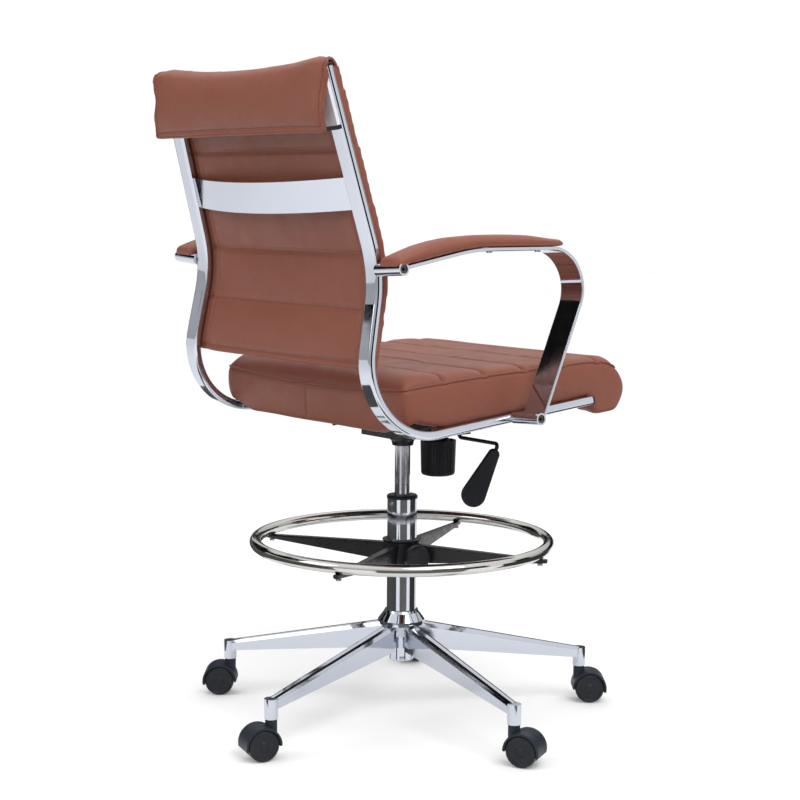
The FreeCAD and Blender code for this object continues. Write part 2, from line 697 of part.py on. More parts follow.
def tilt_parts():
    reach = size("housing_half_width") + 8
    axle = cylinder("axle_shaft", "tilt_axle_radius", str(2 * reach), along(
        Vector(1, 0, 0), Vector(-reach, size("tilt_axle_depth"), size("tilt_axle_height"))))
    piece("tilt_axle", axle)
    piece("tension_bolt", turned_at("tension_bolt", [
        ("0", "knob_bottom + 6"), ("bolt_radius", "knob_bottom + 6"), ("bolt_radius", "seat_height + 3.2"),
        ("12", "seat_height + 3.2"), ("11", "seat_height + 7.5"), ("0", "seat_height + 7.5")],
        Vector(0, size("bolt_depth"), 0)))
    knob = turned_at("tension_knob", [
        ("bolt_radius + 0.05", "knob_bottom + 4"), ("bolt_radius + 0.05", "knob_bottom + 24"),
        ("9", "knob_bottom + 24"), ("9", "knob_bottom + 12"), ("knob_radius - 6", "knob_bottom + 12"),
        ("knob_radius - 4", "knob_top"), ("knob_radius", "knob_top"), ("knob_radius - 1.5", "knob_bottom + 5"),
        ("knob_radius - 3", "knob_bottom + 1.5"), ("knob_radius - 7", "knob_bottom"), ("0", "knob_bottom"),
        ("0", "knob_bottom + 4")], Vector(0, size("bolt_depth"), 0))
    flutes = []
    for index in range(40):
        angle = math.radians(9 * index)
        reach = size("knob_radius") - 0.2
        spot = Vector(reach * math.cos(angle), size("bolt_depth") + reach * math.sin(angle), size("knob_bottom") - 1)
        lean = Vector(1.7 * math.cos(angle), 1.7 * math.sin(angle), 66)
        spot -= Vector(1.7 * math.cos(angle), 1.7 * math.sin(angle), 0)
        flutes.append(cylinder(f"flute_{index}", "0.9", "70", along(lean, spot)))
    piece("tension_knob", cut("tension_knob_cut", knob, combined("MultiFuse", "knob_flutes", flutes)))
    turns = 7
    wire = size("spring_wire") / 2
    rise = size("housing_floor") - size("knob_bottom") - 12.6 - 2 * wire
    coil = Part.makeHelix(rise / turns, rise, size("spring_radius"))
    start = Part.makeCircle(wire, Vector(size("spring_radius"), 0, 0), Vector(0, 1, 0))
    spring = document.addObject("Part::Feature", "tension_spring")
    spring.Shape = Part.Wire(coil.Edges).makePipeShell([Part.Wire([start])], True, True)
    spring.Placement = Placement(Vector(0, size("bolt_depth"), size("housing_floor") - wire - rise - 0.3), Rotation())
    piece("tension_spring", spring)


def turned_at(label, points, spot):
    owner = turned(label + "_turned", points)
    document.recompute()
    owner.Placement = Placement(spot, Rotation())
    return owner


def rounded_taper(sketch, small, large, length):
    """A flat drop: a small circle at the top, a large one below, joined by their common tangents."""
    top = Vector(0, -small, 0)
    low = Vector(0, large - length, 0)
    slope = math.asin((large - small) / (top.y - low.y))
    right = Vector(math.cos(slope), math.sin(slope), 0)
    left = Vector(-right.x, right.y, 0)
    for centre, radius, first, second in ((top, small, right, left), (low, large, left, right)):
        begin = math.atan2(first.y, first.x)
        finish = math.atan2(second.y, second.x)
        finish += 2 * math.pi * (finish < begin)
        circle = Part.Circle(centre, Vector(0, 0, 1), radius)
        sketch.addGeometry(Part.ArcOfCircle(circle, begin, finish), False)
    sketch.addGeometry(Part.LineSegment(low + right * large, top + right * small), False)
    sketch.addGeometry(Part.LineSegment(top + left * small, low + left * large), False)


def broad_edges(shape, half, owner):
    """Numbers of the edges that lie in a plate's two broad faces."""
    place = owner.Placement.inverse()
    numbers = []
    for number, edge in enumerate(shape.Edges, start=1):
        ends = [place.multVec(edge.valueAt(spot)) for spot in (edge.FirstParameter, edge.LastParameter)]
        middle = place.multVec(edge.valueAt((edge.FirstParameter + edge.LastParameter) / 2))
        if all(abs(abs(spot.y) - half) < 0.01 for spot in ends + [middle]):
            numbers.append(number)
    return numbers


def lever():
    depth = size("lever_depth")
    height = size("lever_height")
    pivot = size("lever_pivot")
    rod = swept("lever_bar", "XZ_Plane", [
        ("-16", "0"), ("-63", "0"), ("-78", "-lever_drop"), ("-lever_reach", "-lever_drop"),
        ("-lever_reach + 5.4", "-lever_drop - 21")], ["9", "9", "7"],
        lambda sketch: ring(sketch, "lever_rod_radius"))
    rod.Placement = Placement(Vector(0, depth, height), Rotation(Vector(1, 0, 0), size("lever_lean")))
    arm = block("button_arm", "30", "-lever_depth + 12", "3", Placement(
        Vector(-20, depth - 4, size("gas_top") + 4.3), Rotation()))
    post = block("arm_post", "6", "6", "gas_top + 5 - lever_height", Placement(
        Vector(-24, depth - 3, height), Rotation()))
    rib = block("arm_rib", "10", "6", "3", Placement(Vector(-24, depth - 3, size("gas_top") + 4.3), Rotation()))
    pin = cylinder("lever_pin", "2", "15.8", along(Vector(0, 1, 0), Vector(-pivot, depth - 7.9, height)))
    piece("lever_rod", combined("MultiFuse", "lever_rod_arm", [rod, arm, post, rib, pin]))
    floor = size("housing_floor") + size("housing_sheet") + 0.1
    yoke = block("yoke_block", "14", "16", "14", Placement(Vector(-pivot - 7, depth - 8, floor), Rotation()))
    room = block("yoke_room", "16", "10", "20", Placement(Vector(-pivot - 8, depth - 5, floor + 2), Rotation()))
    eye = cylinder("yoke_eye", "2.05", "20", along(Vector(0, 1, 0), Vector(-pivot, depth - 10, height)))
    piece("lock_slide", cut("lock_slide_cut", yoke, combined("MultiFuse", "yoke_holes", [room, eye])))
    paddle = body("paddle")
    face = sketch_on(paddle, "XZ_Plane", "paddle_outline")
    rounded_taper(face, 9.5, size("paddle_width") / 2, size("paddle_length"))
    padded(paddle, face, "paddle_thickness")
    mouth = sketch_on(paddle, "XY_Plane", "paddle_mouth", "-12.5")
    ring(mouth, "lever_rod_radius + 0.05")
    pocketed(paddle, mouth, "20", both=False, reverse=True)
    document.recompute()
    # the paddle hangs in line with the rod's last run and faces the sitter's rear right
    run = Vector(5.4, 0, -21).normalize()
    down = rod.Placement.Rotation.multVec(run)
    wide = Vector(-down.y, down.x, 0).normalize()
    turn = Rotation(wide.cross(down * -1), wide, down * -1, "ZYX")
    tip = rod.Placement.multVec(Vector(-size("lever_reach") + 5.4, 0, -size("lever_drop") - 21))
    paddle.Placement = Placement(tip - down * 12, turn)
    document.recompute()
    soft = document.addObject("Part::Fillet", "paddle_soft")
    soft.Base = paddle
    soft.Edges = [(number, 3.5, 3.5) for number in broad_edges(paddle.Shape, size("paddle_thickness") / 2, paddle)]
    piece("lever_paddle", soft)


# ---------------------------------------------------------------- seat frame

def seat_plate():
    owner = plate("seat_plate", "YZ_Plane", [
        ("-bar_spread - 18", "-7"), ("105", "-7"), ("105", "-24"), ("30", "-24"), ("-6", "-48"),
        ("-46", "-48"), ("-62", "-24"), ("-bar_spread - 18", "-24")], "120")
    inside = sketch_on(owner, "YZ_Plane", "plate_inside")
    outline(inside, [("-150", "-10"), ("110", "-10"), ("110", "-60"), ("-150", "-60")])
    pocketed(owner, inside, "114")
    document.recompute()
    owner.Placement = SEAT_PLACE
    long = 140
    eyes = cylinder("plate_eyes", "tilt_axle_radius + 0.05", str(long), along(
        Vector(1, 0, 0), Vector(-long / 2, size("tilt_axle_depth"), size("tilt_axle_height"))))
    slot = block("plate_slot", "15", "24", "60", Placement(
        Vector(-7.5, size("bolt_depth") - 16, size("seat_height") - 30), Rotation()))
    bolts = [cylinder(f"plate_hole_{x}_{y}", "3.3", "8", SEAT_PLACE * Placement(Vector(x, y, -12), Rotation()))
             for x, y in bolt_spots()]
    holes = combined("MultiFuse", "plate_holes", [eyes, slot] + bolts)
    piece("seat_plate", cut("seat_plate_cut", owner, holes))
    heads = []
    for x, y in bolt_spots():
        head = Part.makeCylinder(6, 4, Vector(x, y, -14.1)).fuse(Part.makeCylinder(3.2, 26, Vector(x, y, -10.5)))
        head.Placement = SEAT_PLACE
        heads.append(head)
    group("plate_bolts", heads)


def bolt_spots():
    return [(x, y) for x in (-40, 40) for y in (-size("bar_spread"), size("bar_spread") - 21)]


def rail_walls(y, z, reach):
    """Blocks outboard of the rails' inner walls, to trim what runs between them."""
    walls = []
    for side in (1, -1):
        wall = Part.makeBox(80, 2 * reach, 2 * reach, Vector(0 if side > 0 else -80, -reach, -reach))
        wall.Placement = side_place(side) * Placement(
            Vector(-side * (size("rail_width") / 2 + 0.05), y, z), Rotation())
        walls.append(wall)
    return walls


def cross_bars():
    """Two box bars that join the rails under the seat board."""
    bars = []
    half = size("board_half_width") + 20
    walls = rail_walls(0, size("seat_height"), 200)
    for y in (-size("bar_spread"), size("bar_spread") - 21):
        tall = size("cushion_lift") + 6.9
        bar = Part.makeBox(2 * half, 30, tall, Vector(-half, y - 15, -7))
        bar = bar.cut(Part.makeBox(2 * half, 26, tall - 4, Vector(-half, y - 13, -5)))
        for x in (-40, 40):
            bar = bar.cut(Part.makeCylinder(3.3, 20, Vector(x, y, -9)))
        bar.Placement = SEAT_PLACE
        bars.append(bar.cut(walls[0]).cut(walls[1]))
    group("cross_bars", bars)


def seat_board():
    owner = plate("seat_board", "YZ_Plane", [
        ("-186", "cushion_lift"), ("165", "cushion_lift"), ("165", "cushion_lift + 9"),
        ("-186", "cushion_lift + 9")], "board_half_width * 2")
    document.recompute()
    owner.Placement = SEAT_PLACE
    holes = [cylinder(f"board_hole_{x}_{y}", "3.6", "10", SEAT_PLACE * Placement(Vector(x, y, 7), Rotation()))
             for x, y in bolt_spots()]
    holes.append(cylinder("board_bolt_room", "23", "60", Placement(
        Vector(0, size("bolt_depth"), size("seat_height") - 20), Rotation())))
    piece("seat_board", cut("seat_board_cut", owner, combined("MultiFuse", "board_holes", holes)))


RAIL_PATH = [("rail_front_y", "rail_front_z"), ("rail_heel_y", "rail_heel_z"),
             ("rail_lumbar_y", "rail_lumbar_z"), ("rail_top_y", "rail_top_z")]
RAIL_BENDS = ["heel_radius", "lumbar_radius"]


def rails():
    for side, name in ((1, "left"), (-1, "right")):
        def section(sketch):
            rounded_box(sketch, "rail_width", "rail_thickness", "rail_corner")
            rounded_box(sketch, "rail_width - 2 * rail_wall", "rail_thickness - 2 * rail_wall",
                        "rail_corner - rail_wall")
        rail = swept(f"rail_{name}", "YZ_Plane", RAIL_PATH, RAIL_BENDS, section)
        rail.Placement = side_place(side)
        piece(f"rail_{name}", rail)


def rail_room(side, name):
    """A solid a little larger than a rail, to cut its way out of the cushion."""
    room = swept(f"{name}_room_{side + 1}", "YZ_Plane", RAIL_PATH, RAIL_BENDS,
                 lambda sketch: rounded_box(sketch, "rail_width + 0.8", "rail_thickness + 0.8", "rail_corner"))
    room.Placement = side_place(side)
    return room


def rail_plugs():
    plugs = []
    lower = Vector(0, size("rail_front_y") - size("rail_heel_y"), size("rail_front_z") - size("rail_heel_z"))
    upper = Vector(0, size("rail_top_y") - size("rail_lumbar_y"), size("rail_top_z") - size("rail_lumbar_z"))
    ends = ((lower, Vector(0, size("rail_front_y"), size("rail_front_z"))),
            (upper, Vector(0, size("rail_top_y"), size("rail_top_z"))))
    for side in (1, -1):
        for direction, spot in ends:
            cap = Part.makeBox(size("rail_width"), size("rail_thickness"), 5,
                               Vector(-size("rail_width") / 2, -size("rail_thickness") / 2, 0))
            cap = cap.makeFillet(4.9, [edge for edge in cap.Edges if is_upright(edge)])
            cap = cap.makeFillet(2, [edge for edge in cap.Edges if edge.CenterOfMass.z > 4.9])
            tang = Part.makeBox(size("rail_width") - 4, size("rail_thickness") - 4, 12,
                                Vector(2 - size("rail_width") / 2, 2 - size("rail_thickness") / 2, -12))
            tang = tang.makeFillet(3, [edge for edge in tang.Edges if is_upright(edge)])
            plug = cap.fuse(tang).removeSplitter()
            plug.Placement = side_place(side) * Placement(spot, Rotation(Vector(0, 0, 1), direction))
            plugs.append(plug)
    group("rail_plugs", plugs)


def is_upright(edge):
    start, end = edge.Vertexes[0].Point, edge.Vertexes[-1].Point
    return abs(start.x - end.x) < 1e-6 and abs(start.y - end.y) < 1e-6


def cross_brace():
    """A flat chromed band between the rails, bowed to the rear."""
    rise = size("brace_centre_z") - size("lean_height")
    half = size("rail_offset") - rise * math.tan(math.radians(size("rail_lean"))) - size("rail_width") / 2
    bow, sheet_half = size("brace_bow"), size("brace_sheet") / 2
    radius = (half * half + bow * bow) / (2 * bow)
    ring_shape = Part.makeCylinder(radius + sheet_half, size("brace_height"))
    ring_shape = ring_shape.cut(Part.makeCylinder(radius - sheet_half, size("brace_height")))
    wedge = Part.makeBox(4 * half, 2 * radius, size("brace_height"), Vector(-2 * half, radius - bow, 0))
    band = ring_shape.common(wedge)
    band.translate(Vector(0, bow - radius, -size("brace_height") / 2))
    slope = math.degrees(math.atan2(size("rail_top_y") - size("rail_lumbar_y"),
                                    size("rail_top_z") - size("rail_lumbar_z")))
    run = (size("brace_centre_z") - size("rail_lumbar_z")) * math.tan(math.radians(slope))
    spot = Vector(0, size("rail_lumbar_y") + run + 1, size("brace_centre_z"))
    band.Placement = Placement(spot, Rotation(Vector(1, 0, 0), -slope)) * band.Placement
    walls = rail_walls(spot.y, spot.z, 120)
    brace = document.addObject("Part::Feature", "cross_brace")
    brace.Shape = band.cut(walls[0]).cut(walls[1])
    piece("cross_brace", brace)


# ---------------------------------------------------------------- soft parts

def seat_cushion():
    """Seen from the side: flat below, crowned above, with a rolled front edge."""
    owner = plate("cushion_block", "YZ_Plane", [
        ("-196", "cushion_lift"), ("176", "cushion_lift"), ("188", "14"), ("192", "30"), ("191", "74"),
        ("180", "90"), ("150", "101"), ("0", "99"), ("-150", "85"), ("-205", "78"), ("-245", "60"),
        ("-270", "30"), ("-276", "12"), ("-270", "-14"), ("-255", "-27"), ("-232", "-30"), ("-214", "-26"),
        ("-204", "-14")], "cushion_half_width * 2")
    document.recompute()
    owner.Placement = SEAT_PLACE
    rooms = [rail_room(side, "cushion") for side in (1, -1)]
    wide = size("board_half_width") + 0.2
    rooms.append(block("board_room", str(2 * wide), "351.4", "9.4", SEAT_PLACE * Placement(
        Vector(-wide, -186.2, size("cushion_lift") - 0.2), Rotation())))
    for side in (1, -1):
        slope = Rotation(Vector(1, 0, 0), -size("seat_slope"))
        rooms.append(block(f"plug_room_{side + 1}", "50", "14", "24", side_place(side) * Placement(
            Vector(-25, size("rail_front_y") - 9, size("rail_front_z") - 12), slope)))
    piece("seat_cushion", cut("seat_cushion_cut", owner, combined("MultiFuse", "cushion_rooms", rooms)))


def back_pad():
    """A thin padded panel in front of the rails, from the hem up to the rails' tops."""
    rear, front = [], []
    gap = size("rail_thickness") / 2 + 0.4
    thick = 13
    spots = [Vector(0, size("rail_lumbar_y") + 25.2, 0)]
    heel = Vector(size("rail_heel_y"), size("rail_heel_z"), 0)
    lumbar = Vector(size("rail_lumbar_y"), size("rail_lumbar_z"), 0)
    top = Vector(size("rail_top_y"), size("rail_top_z"), 0)
    start, middle, end, centre = bend_at(heel, lumbar, top, size("lumbar_radius"))
    low = lumbar + (heel - lumbar).normalize() * 151
    high = lumbar + (top - lumbar).normalize() * 308.6
    edges_rear = offset_path([low, start, middle, end, high], gap)
    edges_front = offset_path([low, start, middle, end, high], gap + thick)
    upright = [Vector(0, spot.x, spot.y) for spot in edges_rear]
    facing = [Vector(0, spot.x, spot.y) for spot in edges_front]
    profile = Part.Wire([
        Part.makeLine(upright[0], upright[1]), Part.Arc(upright[1], upright[2], upright[3]).toShape(),
        Part.makeLine(upright[3], upright[4]), Part.makeLine(upright[4], facing[4]),
        Part.makeLine(facing[4], facing[3]), Part.Arc(facing[3], facing[2], facing[1]).toShape(),
        Part.makeLine(facing[1], facing[0]), Part.makeLine(facing[0], upright[0])])
    slab = Part.Face(profile).extrude(Vector(600, 0, 0))
    slab.translate(Vector(-300, 0, 0))
    for side in (1, -1):
        beyond = Part.makeBox(200, 400, 700, Vector(0 if side > 0 else -200, 100, 480))
        beyond.Placement = side_place(side) * Placement(Vector(side * 6, 0, 0), Rotation())
        slab = slab.cut(beyond)
    pad = document.addObject("Part::Feature", "back_pad_slab")
    pad.Shape = slab
    rooms = [rail_room(side, "back_pad") for side in (1, -1)]
    piece("back_pad", cut("back_pad_cut", pad, combined("MultiFuse", "back_pad_rooms", rooms)))


def offset_path(spots, distance):
    """Points set off to the front of a path that runs up the back."""
    moved = []
    for index, spot in enumerate(spots):
        before = spots[max(index - 1, 0)]
        after = spots[min(index + 1, len(spots) - 1)]
        if index == 1:
            after = before + (spot - before) * 2
        if index == len(spots) - 2:
            before = spot - (after - spot)
        ahead = (after - before).normalize()
        moved.append(spot + Vector(-ahead.y, ahead.x, 0) * distance)
    return moved


def head_roll():
    """A padded flap that hangs behind the rails' tops and turns over them."""
    slope = math.degrees(math.atan2(size("rail_top_y") - size("rail_lumbar_y"),
                                    size("rail_top_z") - size("rail_lumbar_z")))
    owner = plate("head_roll", "YZ_Plane", [
        ("14.5", "7.5"), ("14.5", "-38"), ("28.5", "-86"), ("33", "-92"), ("38.5", "-90"), ("39.5", "-76"),
        ("36", "-55"), ("31", "-30"), ("24", "-6"), ("15", "8"), ("4", "13.5"), ("-10", "13.5"),
        ("-18", "9"), ("-20.5", "4"), ("-19", "1.5"), ("-8", "1.5"), ("-6", "7.5")], "472")
    document.recompute()
    owner.Placement = Placement(Vector(0, size("rail_top_y"), size("rail_top_z")), Rotation(Vector(1, 0, 0), -slope))
    strips = []
    ends = []
    for side in (1, -1):
        place = side_place(side) * Placement(
            Vector(0, size("rail_top_y"), size("rail_top_z")), Rotation(Vector(1, 0, 0), -slope))
        strip = Part.makeBox(28, 6, 78, Vector(-14, 7.1, -84))
        end = Part.makeBox(29, 6.4, 6, Vector(-14.5, 7.1, -90.2))
        strip.Placement = place
        end.Placement = place
        strips.append(strip)
        ends.append(end)
    piece("head_roll", owner)
    group("head_strips", strips)
    group("strip_ends", ends)


# ---------------------------------------------------------------- arms

def strap_points():
    return [("arm_upper_y", "arm_upper_z + 1"), ("arm_bend_y", "arm_top_z"),
            ("arm_nose_y", "arm_top_z"), ("arm_lower_y - 5.8", "arm_lower_z")]


def arms():
    screws = []
    for side, name in ((1, "left"), (-1, "right")):
        place = side_place(side)
        inner = size("rail_width") / 2 + 0.1
        outward = Vector(side, 0, 0)

        def section(sketch):
            width = "boss_length - strap_inset"
            rounded_box(sketch, width, "strap_sheet", "1.2")
        strap = swept(f"strap_{name}", "YZ_Plane", strap_points(), ["arm_bend_radius", "arm_nose_radius"], section)
        shift = side * (inner + (size("boss_length") + size("strap_inset")) / 2)
        strap.Placement = place * Placement(Vector(shift, 0, 0), Rotation())
        bosses, bores, sinks = [], [], []
        for end in ("upper", "lower"):
            spot = Vector(side * inner, size(f"arm_{end}_y"), size(f"arm_{end}_z"))
            at = place * along(outward, spot)
            bosses.append(cylinder(f"boss_{name}_{end}", "boss_radius", "boss_length", at))
            bores.append(cylinder(f"boss_bore_{name}_{end}", "4.2", "boss_length + 2",
                                  at * Placement(Vector(0, 0, -1), Rotation())))
            sinks.append(cylinder(f"boss_sink_{name}_{end}", "7", "12",
                                  at * Placement(Vector(0, 0, size("boss_length") - 8), Rotation())))
            shank = Part.makeCylinder(4, size("boss_length") - 8.2)
            head = Part.makeCylinder(6.5, 6, Vector(0, 0, size("boss_length") - 8))
            key = hexagon_hole(2.9, 4, size("boss_length") - 5.5)
            screw = shank.fuse(head).cut(key)
            screw.Placement = at
            screws.append(screw)
        fused = combined("MultiFuse", f"arm_{name}_fused", [strap] + bosses)
        holes = combined("MultiFuse", f"arm_{name}_holes", bores + sinks)
        piece(f"arm_frame_{name}", cut(f"arm_{name}_drilled", fused, holes))
        piece(f"arm_pad_{name}", arm_pad(name, place, shift))
    group("arm_screws", screws)


def hexagon_hole(radius, deep, start):
    corners = [Vector(radius * math.cos(math.pi * k / 3), radius * math.sin(math.pi * k / 3), start)
               for k in range(7)]
    return Part.Face(Part.makePolygon(corners)).extrude(Vector(0, 0, deep))


def arm_pad(name, place, shift):
    """A long cushion on the strap, thick in the middle and thin at its ends."""
    top = "arm_top_z + strap_sheet / 2"
    owner = plate(f"pad_{name}", "YZ_Plane", [
        ("258", "arm_upper_z + 16"), ("250", "arm_upper_z + 23"), ("215", f"{top} + 5"), ("177", f"{top} + 13.5"),
        ("138", f"{top} + 19"), ("99", f"{top} + 23"), ("59", f"{top} + 24"), ("0", f"{top} + 22"),
        ("-40", f"{top} + 16"), ("-71", f"{top} + 6.5"), ("-74", f"{top} + 3"), ("-73", f"{top} + 0.4"),
        ("74", f"{top} + 0.4"), ("110", f"{top} - 1.1"), ("140", f"{top} - 5.4"), ("236", "arm_upper_z + 6.4")],
        "boss_length - strap_inset + 2")
    document.recompute()
    owner.Placement = place * Placement(Vector(shift, 0, 0), Rotation())
    return owner


def pad_screws():
    heads = []
    for side in (1, -1):
        place = side_place(side)
        shift = side * (size("rail_width") / 2 + 0.1 + (size("boss_length") + size("strap_inset")) / 2)
        for y, drop in ((60, 0), (-40, 0)):
            head = Part.makeCylinder(4.5, 2.6, Vector(
                shift, y, size("arm_top_z") - size("strap_sheet") / 2 - 2.7 - drop))
            head.Placement = place
            heads.append(head)
    group("pad_screws", heads)


star_base()
hub_cap()
column()
gas_spring()
casters()
caster_stems()
foot_ring()
tilt_housing()
tilt_parts()
lever()
seat_plate()
cross_bars()
seat_board()
rails()
rail_plugs()
cross_brace()
seat_cushion()
back_pad()
head_roll()
arms()
pad_screws()
document.recompute()

problems = [item.Name for item in document.Objects if "Invalid" in item.State or "Error" in item.State]
if problems:
    raise SystemExit("these objects did not recompute: " + ", ".join(problems))

os.makedirs("parts", exist_ok=True)
for label, thing in finished.items():
    shape = thing.Shape
    if shape.isNull() or not shape.isValid():
        raise SystemExit(f"{label} has no valid shape")
    if not shape.Solids:
        raise SystemExit(f"{label} has no solid")
    shape.exportStep(f"parts/{label}.step")
    print(f"{label}: {len(shape.Solids)} solid(s), {shape.Volume / 1000:.1f} cm3")
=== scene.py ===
"""Looks of the drafting chair: leather, piping and stitching, chrome, plastics, studio and camera."""
import json
import math

import bpy
import numpy as np
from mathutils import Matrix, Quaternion, Vector
from mathutils.bvhtree import BVHTree
from mathutils.kdtree import KDTree


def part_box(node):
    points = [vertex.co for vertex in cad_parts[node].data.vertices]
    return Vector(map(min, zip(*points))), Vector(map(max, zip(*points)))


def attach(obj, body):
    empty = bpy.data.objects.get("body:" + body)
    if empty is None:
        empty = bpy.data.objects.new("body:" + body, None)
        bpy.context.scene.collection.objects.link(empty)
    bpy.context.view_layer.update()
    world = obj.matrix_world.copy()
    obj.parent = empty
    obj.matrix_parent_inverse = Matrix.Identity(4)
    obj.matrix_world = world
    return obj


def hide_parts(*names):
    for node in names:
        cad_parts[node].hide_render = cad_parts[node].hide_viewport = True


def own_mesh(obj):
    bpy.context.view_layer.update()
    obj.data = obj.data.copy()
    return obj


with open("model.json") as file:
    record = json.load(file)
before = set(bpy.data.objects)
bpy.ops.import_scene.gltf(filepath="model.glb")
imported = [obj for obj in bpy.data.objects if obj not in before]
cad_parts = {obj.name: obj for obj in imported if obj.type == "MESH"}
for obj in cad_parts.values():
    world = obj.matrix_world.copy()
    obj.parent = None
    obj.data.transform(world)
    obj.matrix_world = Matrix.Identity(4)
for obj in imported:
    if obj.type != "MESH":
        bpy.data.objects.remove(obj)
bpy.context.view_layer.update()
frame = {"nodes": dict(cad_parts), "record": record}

# the rails' planes and slopes, which the soft pieces follow
SEAT_SLOPE = math.radians(5.37)
SEAT_HEIGHT = 0.5287
RAIL_LEAN = math.radians(3.388)
RAIL_OFFSET = 0.23335
LEAN_HEIGHT = 0.700
BACK_SLOPE = math.atan2(85.0, 297.6)
RAIL_TOP = (0.3224, 1.0600)


# ---------------------------------------------------------------- materials

class Shader:
    """A Principled material whose colour, roughness and bump come from procedural textures."""

    def __init__(self, name, colour, roughness, metallic=0.0):
        self.material = bpy.data.materials.new(name)
        self.material.use_nodes = True
        self.tree = self.material.node_tree
        self.shader = self.tree.nodes["Principled BSDF"]
        self.place = self.tree.nodes.new("ShaderNodeTexCoord").outputs["Object"]
        self.bump = None
        self.shader.inputs["Base Color"].default_value = (*colour, 1)
        self.shader.inputs["Roughness"].default_value = roughness
        self.shader.inputs["Metallic"].default_value = metallic
        self.colour = colour

    def put(self, **values):
        for name, value in values.items():
            self.shader.inputs[name.replace("_", " ")].default_value = value
        return self

    def at(self, stretch):
        """Object coordinates in metres, stretched along each axis."""
        node = self.tree.nodes.new("ShaderNodeMapping")
        node.inputs["Scale"].default_value = stretch
        self.tree.links.new(self.place, node.inputs["Vector"])
        return node.outputs["Vector"]

    def noise(self, scale, detail=3.0, roughness=0.55, stretch=(1, 1, 1), distortion=0.0):
        node = self.tree.nodes.new("ShaderNodeTexNoise")
        node.inputs["Scale"].default_value = scale
        node.inputs["Detail"].default_value = detail
        node.inputs["Roughness"].default_value = roughness
        node.inputs["Distortion"].default_value = distortion
        self.tree.links.new(self.at(stretch), node.inputs["Vector"])
        return node.outputs["Fac"]

    def cells(self, scale):
        """Distance to the edges of a cell pattern, as in leather's pebbles."""
        node = self.tree.nodes.new("ShaderNodeTexVoronoi")
        node.feature = "DISTANCE_TO_EDGE"
        node.inputs["Scale"].default_value = scale
        self.tree.links.new(self.at((1, 1, 1)), node.inputs["Vector"])
        return node.outputs["Distance"]

    def ramp(self, source, low, high, start, end):
        """Turns a 0 to 1 pattern into values between start and end, over low to high."""
        node = self.tree.nodes.new("ShaderNodeMapRange")
        node.interpolation_type = "SMOOTHSTEP"
        for name, value in (("From Min", low), ("From Max", high), ("To Min", start), ("To Max", end)):
            node.inputs[name].default_value = value
        self.tree.links.new(source, node.inputs["Value"])
        return node.outputs["Result"]

    def tint(self, pattern, colour, low=0.35, high=0.65, most=1.0):
        """Lets another colour show where the pattern is high."""
        mix = self.tree.nodes.new("ShaderNodeMix")
        mix.data_type = "RGBA"
        base = self.shader.inputs["Base Color"]
        if base.is_linked:
            self.tree.links.new(base.links[0].from_socket, mix.inputs[6])
        else:
            mix.inputs[6].default_value = (*self.colour, 1)
        mix.inputs[7].default_value = (*colour, 1)
        self.tree.links.new(self.ramp(pattern, low, high, 0.0, most), mix.inputs["Factor"])
        self.tree.links.new(mix.outputs[2], base)
        return self

    def rough(self, pattern, start, end, low=0.35, high=0.65):
        self.tree.links.new(self.ramp(pattern, low, high, start, end), self.shader.inputs["Roughness"])
        return self

    def raised(self, pattern, height, strength=1.0):
        """Adds bump of that height in metres where the pattern is 1."""
        node = self.tree.nodes.new("ShaderNodeBump")
        node.inputs["Strength"].default_value = strength
        node.inputs["Distance"].default_value = height
        self.tree.links.new(pattern, node.inputs["Height"])
        if self.bump is not None:
            self.tree.links.new(self.bump, node.inputs["Normal"])
        self.bump = node.outputs["Normal"]
        self.tree.links.new(self.bump, self.shader.inputs["Normal"])
        return self


def leather(name, colour, dark_tone_and_crease_shade, light, grain=1.0):
    """Smooth corrected leather: fine pebbles, darker in the creases as painted shade, a little paler where
    it is rubbed.
    """
    skin = Shader(name, colour, 0.45)
    skin.put(Specular_IOR_Level=0.40, Sheen_Weight=0.06, Sheen_Roughness=0.5, Coat_Weight=0.05,
             Coat_Roughness=0.40)
    skin.shader.inputs["Sheen Tint"].default_value = (0.85, 0.55, 0.45, 1)
    pebbles = skin.cells(620)
    small = skin.cells(1300)
    skin.tint(skin.noise(5.0, 3.0, 0.5, distortion=0.4), light, 0.40, 0.80, 0.35)
    skin.tint(skin.noise(90.0, 4.0, 0.6), dark_tone_and_crease_shade, 0.48, 0.85, 0.22)
    # painted shade: the grain's creases at the pebbles' edges are darkened in colour
    skin.tint(skin.ramp(pebbles, 0.0, 0.10, 1.0, 0.0), dark_tone_and_crease_shade, 0.0, 1.0, 0.30)
    skin.rough(skin.noise(30.0, 4.0, 0.6), 0.40, 0.52)
    skin.raised(skin.ramp(pebbles, 0.0, 0.16, 0.0, 1.0), 0.00010 * grain, 0.55)
    skin.raised(skin.ramp(small, 0.0, 0.2, 0.0, 1.0), 0.00005 * grain, 0.4)
    skin.raised(skin.noise(21.0, 2.0, 0.4, distortion=1.0), 0.0008, 0.16)
    return skin.material


def chrome(name, colour=(0.55, 0.575, 0.64), roughness=0.06, ripple=0.00003):
    metal = Shader(name, colour, roughness, 1.0)
    metal.tint(metal.noise(5.0, 2.0), (colour[0] * 0.93, colour[1] * 0.94, colour[2] * 0.96), 0.4, 0.75, 0.7)
    metal.tint(metal.noise(420.0, 2.0, 0.6), (colour[0] * 0.86,) * 3, 0.66, 0.8, 0.35)
    metal.rough(metal.noise(55.0, 4.0, 0.7), roughness * 0.7, roughness * 1.6)
    metal.raised(metal.noise(16.0, 2.0), ripple, 0.5)
    metal.raised(metal.noise(900.0, 2.0, stretch=(1, 1, 0.05)), 0.000004, 0.25)
    return metal.material


